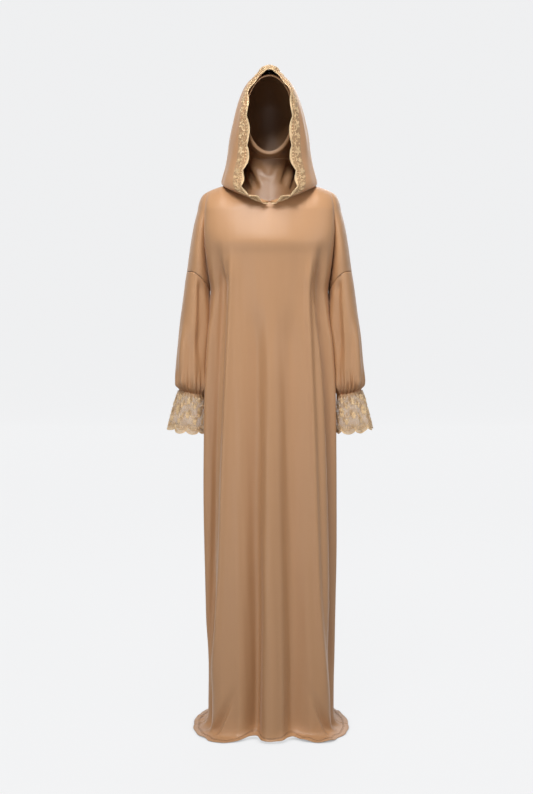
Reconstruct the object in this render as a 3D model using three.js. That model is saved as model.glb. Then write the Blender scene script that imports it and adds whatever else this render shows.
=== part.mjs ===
// A hooded prayer abaya in its worn form: hollow, with the neck, face, cuffs and hem open.
// Millimetres, +Z up. The front faces -Y, and left and right are the wearer's, so left is +X.
// The tables give heights above the floor. The group moves the whole down by HOLD_HEIGHT,
// so that the origin lies between the shoulders, where the wearer carries the garment.
import * as THREE from "three";

const HOLD_HEIGHT = 1450;
const CLOTH = 1.5;
const LACE = 1;
const SEAM = 0.3;
const HALF_SEAM = SEAM / 2;

// The body: a wide front and back with a dropped shoulder, joined at the sides and shoulders.
const UNDERARM_HEIGHT = 1185;
const SHELF_HEIGHT = 1400;
const HEM_LIFT = 1.8;
const HEM_BEND = 14;
const LYING_FADE = 0.55;
const LYING_REACH = 40;
const UNDERARM_GAP = 2;
const UNDERARM_EASE = 45;
const FOLD_START = 120;
const SEAM_CALM = 8;
const SECTION_POWER = 0.82;

// Sections of the skirt and waist. Half is the side seam's distance from the middle, which
// shifts towards the wearer's left as the cloth hangs.
const SKIRT = [
  { height: 0, half: 170, front: 136, back: 152, shift: 5 },
  { height: 97, half: 170, front: 137, back: 150, shift: 5 },
  { height: 347, half: 174, front: 136, back: 144, shift: 4 },
  { height: 676, half: 177, front: 131, back: 134, shift: 2 },
  { height: 888, half: 173, front: 126, back: 126, shift: 1 },
  { height: 1028, half: 166, front: 122, back: 121, shift: 0 },
  { height: 1110, half: 161, front: 121, back: 119, shift: 0 },
  { height: 1185, half: 158, front: 122, back: 118, shift: 0 },
];

// Sections of the chest and upper arms. Rise runs from the underarm to the top of the chest.
// Each panel sinks to a crease beside the arm, then swells over the arm to the outer seam.
const CHEST = [
  {
    rise: 0, half: 158, outer: 221, front: 122, frontCrease: 2,
    frontArm: 58, back: 118, backCrease: 2, backArm: 60,
  },
  {
    rise: 0.25, half: 164, outer: 215.5, front: 128, frontCrease: 24,
    frontArm: 50, back: 118, backCrease: 30, backArm: 48,
  },
  {
    rise: 0.5, half: 169, outer: 209.5, front: 133, frontCrease: 42,
    frontArm: 38, back: 117, backCrease: 52, backArm: 34,
  },
  {
    rise: 0.75, half: 172, outer: 202, front: 127, frontCrease: 52,
    frontArm: 26, back: 112, backCrease: 60, backArm: 24,
  },
  {
    rise: 1, half: 170, outer: 191.5, front: 109, frontCrease: 52,
    frontArm: 14, back: 98, backCrease: 56, backArm: 14,
  },
];
const ARMHOLE = { inner: 1185, outer: 1237 };
const SLANTED_SEAM = 1.4 * SEAM;

// The shoulder seam, from the neck to the tip of the shoulder, and the neckline between.
const SHOULDER = [
  { out: 88, height: 1474 },
  { out: 108, height: 1469 },
  { out: 135, height: 1461 },
  { out: 158, height: 1452 },
  { out: 168, height: 1446 },
];
const CREASE_TOP = 158;
const CREASE_LEAN = 1.4;
const ARM_TOP = 168;
const NECKLINE = {
  edgeX: 0, edgeY: -103, edgeZ: 1416, sideX: 88, sideY: 0,
  sideZ: 1474, backY: 72, backZ: 1482, sag: 12,
};
const SHELF_SHARE = 0.6;
const CLOSE_FROM = 20;
const CLOSE_TO = { neck: 52, shoulder: 90, at: 125 };

// Long folds. At and end are where a fold starts and meets the floor, from -1 at the wearer's
// right side seam to 1 at the left one. Push is outwards, and a hollow is below zero.
const FOLDS = [
  { panel: "front", from: 1330, at: -0.42, end: -0.62, wide: 0.17, spread: 0.2, push: 7, last: 15 },
  { panel: "front", from: 1330, at: -0.6, end: -0.83, wide: 0.12, spread: 0.13, push: -9, last: -24 },
  { panel: "front", from: 1170, at: -0.79, end: -0.94, wide: 0.12, spread: 0.09, push: 6, last: 7 },
  { panel: "front", from: 1150, at: -0.16, end: -0.21, wide: 0.16, spread: 0.15, push: -3, last: -29 },
  { panel: "front", from: 1000, at: 0.02, end: -0.02, wide: 0.14, spread: 0.13, push: 2, last: 16 },
  { panel: "front", from: 1100, at: 0.16, end: 0.24, wide: 0.15, spread: 0.17, push: -3, last: -26 },
  { panel: "front", from: 1330, at: 0.43, end: 0.62, wide: 0.17, spread: 0.22, push: 7, last: 15 },
  { panel: "front", from: 1330, at: 0.6, end: 0.84, wide: 0.12, spread: 0.13, push: -9, last: -24 },
  { panel: "front", from: 1170, at: 0.79, end: 0.94, wide: 0.12, spread: 0.09, push: 6, last: 7 },
  { panel: "back", from: 1340, at: -0.66, end: -0.78, wide: 0.14, spread: 0.16, push: -10, last: -22 },
  { panel: "back", from: 1300, at: -0.46, end: -0.52, wide: 0.16, spread: 0.18, push: 7, last: 16 },
  { panel: "back", from: 1240, at: -0.24, end: -0.26, wide: 0.14, spread: 0.15, push: -7, last: -26 },
  { panel: "back", from: 1180, at: -0.03, end: 0, wide: 0.14, spread: 0.16, push: 4, last: 14 },
  { panel: "back", from: 1230, at: 0.21, end: 0.27, wide: 0.14, spread: 0.16, push: -7, last: -28 },
  { panel: "back", from: 1310, at: 0.45, end: 0.54, wide: 0.16, spread: 0.18, push: 7, last: 15 },
  { panel: "back", from: 1340, at: 0.65, end: 0.8, wide: 0.14, spread: 0.15, push: -10, last: -21 },
];

// How far the hem lies out on the floor, from the middle of a panel to its side seam.
const SPREAD = [
  { out: 0, front: 6, back: 74 },
  { out: 0.2, front: 4, back: 72 },
  { out: 0.27, front: 12, back: 70 },
  { out: 0.34, front: 32, back: 68 },
  { out: 0.42, front: 50, back: 65 },
  { out: 0.52, front: 54, back: 60 },
  { out: 0.64, front: 46, back: 54 },
  { out: 0.8, front: 46, back: 48 },
  { out: 1, front: 40, back: 40 },
];
const SKIRT_ROWS = [0, 0.01, 0.022, 0.038, 0.06, 0.1, 0.18, 0.3, 0.44, 0.58, 0.7, 0.8, 0.9, 1];
const CHEST_ROWS = [0, 0.15, 0.3, 0.45, 0.6, 0.7, 0.8, 0.9, 1];
const BODY_COLUMNS = 26;
const ARM_COLUMNS = 7;
const ARM_ROUNDNESS = 0.6;

// Sleeve rings from the armhole to the gathered wrist and its short frill.
const SLEEVE = [
  {
    ring: 0, inner: 158.9, outer: 221, innerHeight: 1184.7, outerHeight: 1236.7,
    centre: 0, front: 58, back: 60, gather: 0,
  },
  {
    ring: 1, inner: 161, outer: 229.5, innerHeight: 1150, outerHeight: 1182,
    centre: 0, front: 60, back: 60, gather: 0,
  },
  {
    ring: 2, inner: 165, outer: 239, innerHeight: 1098, outerHeight: 1114,
    centre: 0, front: 60, back: 60, gather: 0,
  },
  {
    ring: 3, inner: 170, outer: 246, innerHeight: 1050, outerHeight: 1056,
    centre: -2, front: 58, back: 60, gather: 0,
  },
  {
    ring: 4, inner: 174.5, outer: 251, innerHeight: 992, outerHeight: 995,
    centre: -4, front: 56, back: 58, gather: 0.2,
  },
  {
    ring: 5, inner: 178.5, outer: 253, innerHeight: 948, outerHeight: 948,
    centre: -6, front: 51, back: 53, gather: 1.4,
  },
  {
    ring: 6, inner: 180.5, outer: 251, innerHeight: 931, outerHeight: 931,
    centre: -7, front: 42, back: 43, gather: 2.6,
  },
  {
    ring: 7, inner: 183, outer: 243, innerHeight: 918, outerHeight: 918,
    centre: -8, front: 30, back: 30, gather: 2,
  },
  {
    ring: 8, inner: 182.5, outer: 247, innerHeight: 907, outerHeight: 907,
    centre: -8, front: 33, back: 33, gather: 2,
  },
];
const WRIST_HEIGHT = 907;
const SLEEVE_PLAIN_RINGS = [0, 0.6, 1.3, 2.1, 3, 3.9];
const SLEEVE_GATHERED_RINGS = [4.6, 5.3, 6, 6.6, 7, 8];
const SLEEVE_COLUMNS = 30;
const ARM_SHIFT = 3;
const GATHERS = 15;
const UNEVEN_GATHER = 0.2;
const FADE_RATE = 3;
// Folds on a sleeve. At runs round the ring: 0 is beside the body and 0.25 the front.
const SLEEVE_FOLDS = [
  { from: 0, to: 4.2, at: 0.2, end: 0.06, wide: 0.07, push: -13 },
  { from: 0, to: 4.6, at: 0.1, end: 0.02, wide: 0.06, push: 5 },
  { from: 1.6, to: 6.5, at: 0.36, end: 0.34, wide: 0.06, push: 5 },
  { from: 2.4, to: 6.6, at: 0.27, end: 0.24, wide: 0.06, push: -6 },
  { from: 0, to: 4.4, at: 0.8, end: 0.94, wide: 0.07, push: -12 },
  { from: 1.4, to: 6.4, at: 0.66, end: 0.68, wide: 0.07, push: 5 },
];

// The lace ruffle below the wrist, with flutes that grow towards its scalloped edge.
const CUFF = [
  { ring: 0, inner: 184, outer: 244, height: 906.7, centre: -8, front: 31, back: 31, flute: 1 },
  { ring: 1, inner: 183, outer: 251, height: 884, centre: -9, front: 36, back: 37, flute: 2 },
  { ring: 2, inner: 182, outer: 258, height: 860, centre: -10, front: 41, back: 42, flute: 3.4 },
  { ring: 3, inner: 181.5, outer: 264, height: 836, centre: -11, front: 45, back: 45, flute: 4.6 },
  { ring: 4, inner: 181.5, outer: 269, height: 813, centre: -12, front: 48, back: 47, flute: 5.4 },
];
const CUFF_COLUMNS = 50;
const CUFF_FLUTES = 7;
const BODY_SIDE_FLUTE = 0.3;
const CUFF_SCALLOPS = 10;
const SCALLOP_DEPTH = 7;

// One half of the hood. Each row runs from the face edge round the side to the middle back.
const HOOD = [
  {
    row: 0, edgeX: 1, edgeY: -103.4, edgeZ: 1417, sideX: 88,
    sideY: 0, sideZ: 1475.2, backY: 72, backZ: 1482.8, sag: 11.6,
  },
  {
    row: 1, edgeX: 14, edgeY: -117, edgeZ: 1417, sideX: 109,
    sideY: 0, sideZ: 1480, backY: 92, backZ: 1482, sag: 14,
  },
  {
    row: 2, edgeX: 38, edgeY: -129, edgeZ: 1434, sideX: 121,
    sideY: -2, sideZ: 1468, backY: 110, backZ: 1467, sag: 8,
  },
  {
    row: 3, edgeX: 60, edgeY: -131, edgeZ: 1440, sideX: 127.5,
    sideY: -2, sideZ: 1475, backY: 123, backZ: 1471, sag: 6,
  },
  {
    row: 4, edgeX: 73, edgeY: -125, edgeZ: 1457, sideX: 123.5,
    sideY: 0, sideZ: 1493, backY: 130, backZ: 1490, sag: 2,
  },
  {
    row: 5, edgeX: 72, edgeY: -115, edgeZ: 1484, sideX: 118,
    sideY: 4, sideZ: 1514, backY: 130, backZ: 1514, sag: 0,
  },
  {
    row: 6, edgeX: 61, edgeY: -111, edgeZ: 1524, sideX: 112,
    sideY: 6, sideZ: 1546, backY: 132, backZ: 1554, sag: 0,
  },
  {
    row: 7, edgeX: 58, edgeY: -108, edgeZ: 1578, sideX: 106,
    sideY: 6, sideZ: 1590, backY: 134, backZ: 1600, sag: 0,
  },
  {
    row: 8, edgeX: 59, edgeY: -104, edgeZ: 1634, sideX: 95,
    sideY: 4, sideZ: 1640, backY: 132, backZ: 1650, sag: 0,
  },
  {
    row: 9, edgeX: 57, edgeY: -98, edgeZ: 1684, sideX: 80,
    sideY: 0, sideZ: 1690, backY: 120, backZ: 1704, sag: 0,
  },
  {
    row: 10, edgeX: 43, edgeY: -93, edgeZ: 1719, sideX: 61,
    sideY: -8, sideZ: 1730, backY: 90, backZ: 1746, sag: 0,
  },
  {
    row: 11, edgeX: 20, edgeY: -91, edgeZ: 1746, sideX: 33,
    sideY: -32, sideZ: 1756, backY: 36, backZ: 1764, sag: 0,
  },
  {
    row: 12, edgeX: 4, edgeY: -95, edgeZ: 1767, sideX: 7,
    sideY: -78, sideZ: 1769, backY: -62, backZ: 1770, sag: 0,
  },
];
const HOOD_ROWS = 30;
const HOOD_LAST_ROW = 12;
const HOOD_COLUMNS = 8;
const LACE_WIDTH = 32;
const LACE_OVERHANG = 7;
const MOST_LACE = 1 / 3;
const HOOD_SCALLOPS = 9;
const LEAST_OVERHANG = 0.35;
const LACE_FIRST_ROW = 2;

// The close cap under the hood. Each ring tilts from the face opening back to the neck.
const CAP = [
  { ring: 0, topY: -95, topZ: 1740, chinY: -93, chinZ: 1547, half: 59 },
  { ring: 1, topY: -76, topZ: 1747, chinY: -94, chinZ: 1540, half: 66 },
  { ring: 2, topY: -40, topZ: 1752, chinY: -88, chinZ: 1536, half: 73 },
  { ring: 3, topY: 12, topZ: 1750, chinY: -82, chinZ: 1534.4, half: 77 },
  { ring: 4, topY: 62, topZ: 1725, chinY: -77, chinZ: 1533.6, half: 78 },
  { ring: 5, topY: 94, topZ: 1676, chinY: -73, chinZ: 1533, half: 77 },
  { ring: 6, topY: 98, topZ: 1618, chinY: -70, chinZ: 1532.6, half: 74 },
  { ring: 7, topY: 84, topZ: 1566, chinY: -68, chinZ: 1532.3, half: 68 },
  { ring: 8, topY: 68, topZ: 1536, chinY: -67, chinZ: 1532, half: 62 },
];
const CAP_COLUMNS = 24;
const CAP_ROWS = 8;

// The neck cowl, from under the chin down to the inside of the neckline.
const COWL = [
  {
    ring: 0, edgeX: 0, edgeY: -67, edgeZ: 1531, sideX: 62,
    sideY: 0.5, sideZ: 1533.2, backY: 68, backZ: 1535, sag: 0,
  },
  {
    ring: 1, edgeX: 0, edgeY: -66, edgeZ: 1510, sideX: 60.5,
    sideY: 0, sideZ: 1516, backY: 66, backZ: 1520, sag: 0,
  },
  {
    ring: 2, edgeX: 0, edgeY: -70, edgeZ: 1487, sideX: 63,
    sideY: 0, sideZ: 1502, backY: 65, backZ: 1508, sag: 2,
  },
  {
    ring: 3, edgeX: 0, edgeY: -79, edgeZ: 1463, sideX: 70,
    sideY: 0, sideZ: 1492, backY: 66, backZ: 1498, sag: 6,
  },
  {
    ring: 4, edgeX: 0, edgeY: -91, edgeZ: 1439, sideX: 79,
    sideY: 0, sideZ: 1483, backY: 68, backZ: 1489, sag: 10,
  },
  {
    ring: 5, edgeX: 0, edgeY: -100.4, edgeZ: 1416.4, sideX: 84.8,
    sideY: 0, sideZ: 1473.9, backY: 69.5, backZ: 1481.5, sag: 11.6,
  },
];
const COWL_COLUMNS = 24;
const COWL_ROWS = 6;

const FULL_TURN = 2 * Math.PI;
const QUARTER_TURN = Math.PI / 2;

const mix = (a, b, share) => a + (b - a) * share;
const clamp = (value) => Math.min(Math.max(value, 0), 1);
const ease = (value) => clamp(value) ** 2 * (3 - 2 * clamp(value));
const bump = (distance) => (Math.abs(distance) < 1 ? (1 - distance ** 2) ** 2 : 0);
// Zero well above the bend, and the plain distance well below it.
const soften = (distance, bend) => bend * Math.log1p(Math.exp(distance / bend));

// A smooth curve through one column of a table, which never overshoots its rows.
function track(rows, key, name) {
  const at = rows.map((row) => row[key]);
  const value = rows.map((row) => row[name]);
  const step = at.slice(1).map((next, i) => (value[i + 1] - value[i]) / (next - at[i]));
  const slope = value.map((_, i) => {
    if (i === 0) return step[0];
    if (i === step.length) return step[i - 1];
    const product = step[i - 1] * step[i];
    return product <= 0 ? 0 : (2 * product) / (step[i - 1] + step[i]);
  });
  return (place) => {
    const p = Math.min(Math.max(place, at[0]), at[at.length - 1]);
    const i = Math.max(at.findLastIndex((start, n) => start <= p && n < step.length), 0);
    const gap = at[i + 1] - at[i];
    const t = (p - at[i]) / gap;
    const low = value[i] * (1 + 2 * t) + slope[i] * gap * t;
    const high = value[i + 1] * (3 - 2 * t) - slope[i + 1] * gap * (1 - t);
    return low * (1 - t) ** 2 + high * t ** 2;
  };
}

function tracks(rows, key) {
  const names = Object.keys(rows[0]).filter((name) => name !== key);
  const made = names.map((name) => [name, track(rows, key, name)]);
  return (place) => Object.fromEntries(made.map(([name, read]) => [name, read(place)]));
}

const skirtAt = tracks(SKIRT, "height");
const chestAt = tracks(CHEST, "rise");
const spreadAt = tracks(SPREAD, "out");
const shoulderHeight = track(SHOULDER, "out", "height");
const sleeveAt = tracks(SLEEVE, "ring");
const cuffAt = tracks(CUFF, "ring");
const hoodAt = tracks(HOOD, "row");
const capAt = tracks(CAP, "ring");
const cowlAt = tracks(COWL, "ring");

// How far the long folds push the panel out at one place.
function foldPush(panel, across, height) {
  let push = 0;
  for (const fold of FOLDS) {
    if (fold.panel !== panel || height >= fold.from) continue;
    const down = clamp((fold.from - height) / fold.from);
    const off = (across - mix(fold.at, fold.end, down)) / mix(fold.wide, fold.spread, down);
    push += bump(off) * mix(fold.push, fold.last, down) * ease((fold.from - height) / FOLD_START);
  }
  return push * (1 - across ** SEAM_CALM);
}

// A point of the skirt. Along runs from the hem, 0, to the underarm, 1.
function skirtPoint(panel, across, along) {
  const way = panel === "front" ? -1 : 1;
  const turn = across * QUARTER_TURN;
  const spread = spreadAt(Math.abs(across))[panel];
  const length = UNDERARM_HEIGHT - HEM_LIFT + spread;
  const height = HEM_LIFT + soften(along * length - spread, HEM_BEND);
  const out = soften(spread - along * length, HEM_BEND);
  const section = skirtAt(height);
  const gap = mix(HALF_SEAM, UNDERARM_GAP, ease(1 - (UNDERARM_HEIGHT - height) / UNDERARM_EASE));
  const depth = section[panel];
  const fade = 1 - LYING_FADE * clamp(out / LYING_REACH);
  const normal = new THREE.Vector2(Math.sin(turn) / section.half, (way * Math.cos(turn)) / depth);
  normal.normalize().multiplyScalar(out + fade * foldPush(panel, across, height));
  const level = gap + (depth - gap) * Math.max(Math.cos(turn), 0) ** SECTION_POWER;
  const y = way * Math.max(level + way * normal.y, gap);
  return new THREE.Vector3(section.shift + section.half * Math.sin(turn) + normal.x, y, height);
}

// A smooth value through three others, at the edge, at the side and at the back.
function throughThree(edge, side, back, turn, edgeTurn) {
  const [a, b, c] = [edgeTurn, QUARTER_TURN, Math.PI];
  const atEdge = (edge * (turn - b) * (turn - c)) / ((a - b) * (a - c));
  const atSide = (side * (turn - a) * (turn - c)) / ((b - a) * (b - c));
  const atBack = (back * (turn - a) * (turn - b)) / ((c - a) * (c - b));
  return atEdge + atSide + atBack;
}

// A point of a half loop round the neck or head, from its edge in front to the middle back.
function loopPoint(loop, turn) {
  const edgeTurn = Math.asin(loop.edgeX / loop.sideX);
  const frontReach = (loop.sideY - loop.edgeY) / Math.cos(edgeTurn);
  const reach = turn < QUARTER_TURN ? frontReach : loop.backY - loop.sideY;
  const level = throughThree(loop.edgeZ, loop.sideZ, loop.backZ, turn, edgeTurn);
  const z = level - loop.sag * Math.max(Math.sin(2 * turn), 0);
  return new THREE.Vector3(loop.sideX * Math.sin(turn), loop.sideY - reach * Math.cos(turn), z);
}

// Where a panel ends at the top: the neckline, then the shoulder seam.
function topPoint(panel, out) {
  const way = panel === "front" ? -1 : 1;
  const side = Math.abs(out) / NECKLINE.sideX;
  if (side >= 1) return new THREE.Vector3(out, way * HALF_SEAM, shoulderHeight(Math.abs(out)));
  const turn = panel === "front" ? Math.asin(side) : Math.PI - Math.asin(side);
  const point = loopPoint(NECKLINE, turn).setX(out);
  return point.setY(way * Math.max(way * point.y, HALF_SEAM));
}

// Rounds a panel over the shoulder, from a point at the top of the chest to its top edge.
function closeOver(start, end, share) {
  const near = clamp(1 - (end.x / CLOSE_TO.at) ** 2);
  const from = THREE.MathUtils.degToRad(CLOSE_FROM);
  const to = THREE.MathUtils.degToRad(mix(CLOSE_TO.shoulder, CLOSE_TO.neck, Math.sqrt(near)));
  const angle = mix(from, to, share);
  const left = (Math.cos(angle) - Math.cos(to)) / (Math.cos(from) - Math.cos(to));
  const risen = (Math.sin(angle) - Math.sin(from)) / (Math.sin(to) - Math.sin(from));
  return new THREE.Vector3(mix(end.x, start.x, left), mix(end.y, start.y, left), mix(start.z, end.z, risen));
}

// The wall's direction in the crease beside an arm, where it turns too sharply to be averaged.
function creaseNormal(way, along) {
  const lean = CREASE_LEAN * clamp((along - SHELF_SHARE) / (1 - SHELF_SHARE));
  return new THREE.Vector3(0, way * Math.cos(lean), Math.sin(lean));
}

// A point of the chest, from the underarm, 0, to the shoulder seam or neckline, 1.
function chestPoint(panel, across, along) {
  const way = panel === "front" ? -1 : 1;
  const turn = across * QUARTER_TURN;
  const rise = clamp(along / SHELF_SHARE);
  const section = chestAt(rise);
  const height = mix(UNDERARM_HEIGHT, SHELF_HEIGHT, rise);
  const [depth, crease] = [section[panel], section[`${panel}Crease`]];
  const normal = new THREE.Vector2(Math.sin(turn) / section.half, (way * Math.cos(turn)) / depth);
  normal.normalize().multiplyScalar(foldPush(panel, across, height));
  const y = way * (crease + (depth - crease) * Math.max(Math.cos(turn), 0) ** SECTION_POWER);
  const low = new THREE.Vector3(section.half * Math.sin(turn) + normal.x, y + normal.y, height);
  const end = topPoint(panel, CREASE_TOP * Math.sin(turn));
  const share = (along - SHELF_SHARE) / (1 - SHELF_SHARE);
  const point = along <= SHELF_SHARE ? low : closeOver(low, end, share);
  if (Math.abs(across) === 1) point.wallNormal = creaseNormal(way, along);
  return point;
}

// A point over the upper arm, from the crease, 0, to the outer seam, 1.
function armPoint(panel, side, out, along) {
  const way = panel === "front" ? -1 : 1;
  const rise = clamp(along / SHELF_SHARE);
  const section = chestAt(rise);
  const share = mix(out, (1 - Math.cos(out * Math.PI)) / 2, ARM_ROUNDNESS);
  const start = mix(ARMHOLE.inner, ARMHOLE.outer, share);
  const x = side * mix(section.half, section.outer, share);
  const line = mix(section[`${panel}Crease`], HALF_SEAM, out);
  const y = way * (line + section[`${panel}Arm`] * Math.sin(out * Math.PI));
  const point = new THREE.Vector3(x, y, mix(start, SHELF_HEIGHT, rise));
  if (along <= SHELF_SHARE) return point;
  const end = topPoint(panel, side * mix(CREASE_TOP, ARM_TOP, share));
  return closeOver(point, end, (along - SHELF_SHARE) / (1 - SHELF_SHARE));
}

// The armhole seam lies in a slanting plane, which rises outwards from the underarm.
function armholeHeight(x) {
  const share = (Math.abs(x) - CHEST[0].half) / (CHEST[0].outer - CHEST[0].half);
  return mix(ARMHOLE.inner, ARMHOLE.outer, share);
}

// A ring round an arm. Round runs from beside the body, over the front, and back.
function armRing(section, round) {
  const turn = round * FULL_TURN;
  const share = (1 - Math.cos(turn)) / 2;
  const depth = Math.sin(turn) > 0 ? section.front : section.back;
  const out = mix(section.inner, section.outer, share);
  const point = new THREE.Vector2(out, section.centre - depth * Math.sin(turn));
  const width = section.outer - section.inner;
  const normal = new THREE.Vector2(-Math.cos(turn) / width, -Math.sin(turn) / (2 * depth));
  return { point, normal: normal.normalize(), share };
}

function sleeveFold(round, ring) {
  let push = 0;
  for (const fold of SLEEVE_FOLDS) {
    const down = (ring - fold.from) / (fold.to - fold.from);
    if (down < 0 || down > 1) continue;
    const fade = ease((1 - down) * FADE_RATE) * (fold.from > 0 ? ease(down * FADE_RATE) : 1);
    push += bump((round - mix(fold.at, fold.end, down)) / fold.wide) * fold.push * fade;
  }
  return push;
}

function sleevePoint(side, round, ring) {
  const section = sleeveAt(ring);
  const { point, normal, share } = armRing(section, round);
  const start = ease(ring / SLEEVE_PLAIN_RINGS[1]);
  const uneven = 1 - UNEVEN_GATHER * (1 - Math.cos(3 * FULL_TURN * round + side));
  const gather = section.gather * uneven * Math.cos(GATHERS * FULL_TURN * round);
  point.addScaledVector(normal, start * sleeveFold(round, ring) + gather);
  const x = side * point.x + ARM_SHIFT * ease(ring / SLEEVE[SLEEVE.length - 1].ring);
  return new THREE.Vector3(x, point.y, mix(section.innerHeight, section.outerHeight, share));
}

function cuffPoint(side, round, ring) {
  const section = cuffAt(ring);
  const { point, normal, share } = armRing(section, round);
  const wave = Math.cos(CUFF_FLUTES * FULL_TURN * round + side);
  const flute = section.flute * mix(BODY_SIDE_FLUTE, 1, share) * wave;
  point.addScaledVector(normal, flute);
  const last = CUFF[CUFF.length - 1].ring;
  const scallop = Math.abs(Math.sin(CUFF_SCALLOPS * Math.PI * round));
  const drop = SCALLOP_DEPTH * Math.sqrt(scallop) * ease(ring - last + 1);
  return new THREE.Vector3(side * point.x + ARM_SHIFT, point.y, section.height - drop);
}

// A point of one half of the hood, at a turn from the face edge round to the back.
function hoodPoint(side, row, turn) {
  const point = loopPoint(hoodAt(row), turn);
  return point.setX(side * Math.max(point.x, HALF_SEAM));
}

// The turns at which a hood row is read: the lace's strip first, then on to the back seam.
function hoodTurns(row) {
  const { edgeX, edgeY, sideX, sideY } = hoodAt(row);
  const edgeTurn = Math.asin(edgeX / sideX);
  const radius = Math.hypot(sideX * Math.cos(edgeTurn), (sideY - edgeY) * Math.tan(edgeTurn));
  const strip = Math.min(LACE_WIDTH / radius, (Math.PI - edgeTurn) * MOST_LACE);
  return { edgeTurn, strip, overhang: (LACE_OVERHANG / LACE_WIDTH) * strip };
}

function hoodSheetPoint(side, column, row) {
  const { edgeTurn, strip } = hoodTurns(row);
  if (column <= 2) return hoodPoint(side, row, edgeTurn + (strip * column) / 2);
  const share = (column - 2) / HOOD_COLUMNS;
  return hoodPoint(side, row, mix(edgeTurn + strip, Math.PI, share));
}

function capPoint(round, ring) {
  const { topY, topZ, chinY, chinZ, half } = capAt(ring);
  const turn = round * FULL_TURN;
  const share = (1 + Math.cos(turn)) / 2;
  return new THREE.Vector3(half * Math.sin(turn), mix(chinY, topY, share), mix(chinZ, topZ, share));
}

function cowlPoint(round, ring) {
  const point = loopPoint(cowlAt(ring), Math.min(round, 1 - round) * FULL_TURN);
  return round > 0.5 ? point.setX(-point.x) : point;
}

// A sheet of points and triangles. Rows may differ in length, as where gathers start.
function sheetOf(rows, closed) {
  const points = [];
  const faces = [];
  const starts = rows.map((row) => points.push(...row) - row.length);
  for (let r = 0; r + 1 < rows.length; r += 1) {
    const [low, high] = [rows[r].length, rows[r + 1].length];
    const [lowSpans, highSpans] = closed ? [low, high] : [low - 1, high - 1];
    const at = (row, column) => starts[row] + (column % rows[row].length);
    let [i, j] = [0, 0];
    while (i < lowSpans || j < highSpans) {
      const stepLow = j === highSpans || (i < lowSpans && (i + 1) / lowSpans <= (j + 1) / highSpans);
      if (stepLow) faces.push([at(r, i), at(r, ++i), at(r + 1, j)]);
      else faces.push([at(r, i), at(r + 1, j + 1), at(r + 1, j++)]);
    }
  }
  return { points, faces };
}

// Joins sheets whose edges share points.
function weld(sheets) {
  const points = [];
  const found = new Map();
  const faces = [];
  for (const sheet of sheets) {
    const index = sheet.points.map((point) => {
      const key = point.toArray().map((value) => value.toFixed(3)).join();
      if (!found.has(key)) found.set(key, points.push(point) - 1);
      return found.get(key);
    });
    faces.push(...sheet.faces.map((face) => face.map((corner) => index[corner])));
  }
  return { points, faces };
}

function flipped(sheet) {
  return { points: sheet.points, faces: sheet.faces.map(([a, b, c]) => [a, c, b]) };
}

function normalsOf({ points, faces }) {
  const normals = points.map(() => new THREE.Vector3());
  for (const [a, b, c] of faces) {
    const one = points[b].clone().sub(points[a]);
    const two = points[c].clone().sub(points[a]);
    const cross = one.cross(two);
    for (const corner of [a, b, c]) normals[corner].add(cross);
  }
  return normals.map((normal, i) => points[i].wallNormal ?? normal.normalize());
}

// Gives a sheet its thickness: the outer face, the inner face, and the rim between them.
function wall(sheet, thickness, offset = 0, keepClear = (point) => point) {
  const { points, faces } = sheet;
  const normals = normalsOf(sheet);
  const outer = points.map((point, i) => keepClear(point.clone().addScaledVector(normals[i], offset)));
  const depth = offset - thickness;
  const inner = points.map((point, i) => keepClear(point.clone().addScaledVector(normals[i], depth)));
  const count = points.length;
  const shared = new Set(faces.flatMap(([a, b, c]) => [`${a},${b}`, `${b},${c}`, `${c},${a}`]));
  const closed = faces.flatMap(([a, b, c]) => [[a, b, c], [c + count, b + count, a + count]]);
  for (const [a, b, c] of faces) {
    for (const [from, to] of [[a, b], [b, c], [c, a]]) {
      if (shared.has(`${to},${from}`)) continue;
      closed.push([to, from, from + count], [to, from + count, to + count]);
    }
  }
  const geometry = new THREE.BufferGeometry();
  const numbers = [...outer, ...inner].flatMap((point) => point.toArray());
  geometry.setAttribute("position", new THREE.Float32BufferAttribute(numbers, 3));
  geometry.setIndex(closed.flat());
  geometry.computeVertexNormals();
  return geometry;
}

const span = (count) => Array.from({ length: count + 1 }, (_, i) => i / count);
const ringSpan = (count) => Array.from({ length: count }, (_, i) => i / count);

const camel = new THREE.MeshStandardMaterial({ color: 0xbd8d66, roughness: 0.62, metalness: 0 });
const innerCamel = new THREE.MeshStandardMaterial({ color: 0xa87c56, roughness: 0.7, metalness: 0 });
const goldLace = new THREE.MeshStandardMaterial({ color: 0xcaa265, roughness: 0.5, metalness: 0.1 });

function piece(name, geometry, material) {
  const mesh = new THREE.Mesh(geometry, material);
  mesh.name = name;
  return mesh;
}

// The front or the back, in one sheet with its part over each upper arm.
function bodyPanel(panel) {
  const way = panel === "front" ? -1 : 1;
  const columns = span(BODY_COLUMNS).map((share) => 2 * share - 1);
  const skirt = SKIRT_ROWS.slice(0, -1)
    .map((along) => columns.map((across) => skirtPoint(panel, across, along)));
  const chest = CHEST_ROWS.map((along) => columns.map((across) => chestPoint(panel, across, along)));
  const sheets = [sheetOf([...skirt, ...chest], false)];
  for (const side of [-1, 1]) {
    const arm = CHEST_ROWS.map((along) => span(ARM_COLUMNS).map((out) => armPoint(panel, side, out, along)));
    const sheet = sheetOf(arm, false);
    sheets.push(side > 0 ? sheet : flipped(sheet));
  }
  const sheet = weld(sheets);
  const keepClear = (point) => {
    const armhole = armholeHeight(point.x);
    if (Math.abs(point.z - armhole) < CLOTH) point.setZ(Math.max(point.z, armhole));
    return point.setY(way * Math.max(way * point.y, HALF_SEAM));
  };
  return piece(panel, wall(way < 0 ? sheet : flipped(sheet), CLOTH, 0, keepClear), camel);
}

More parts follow.
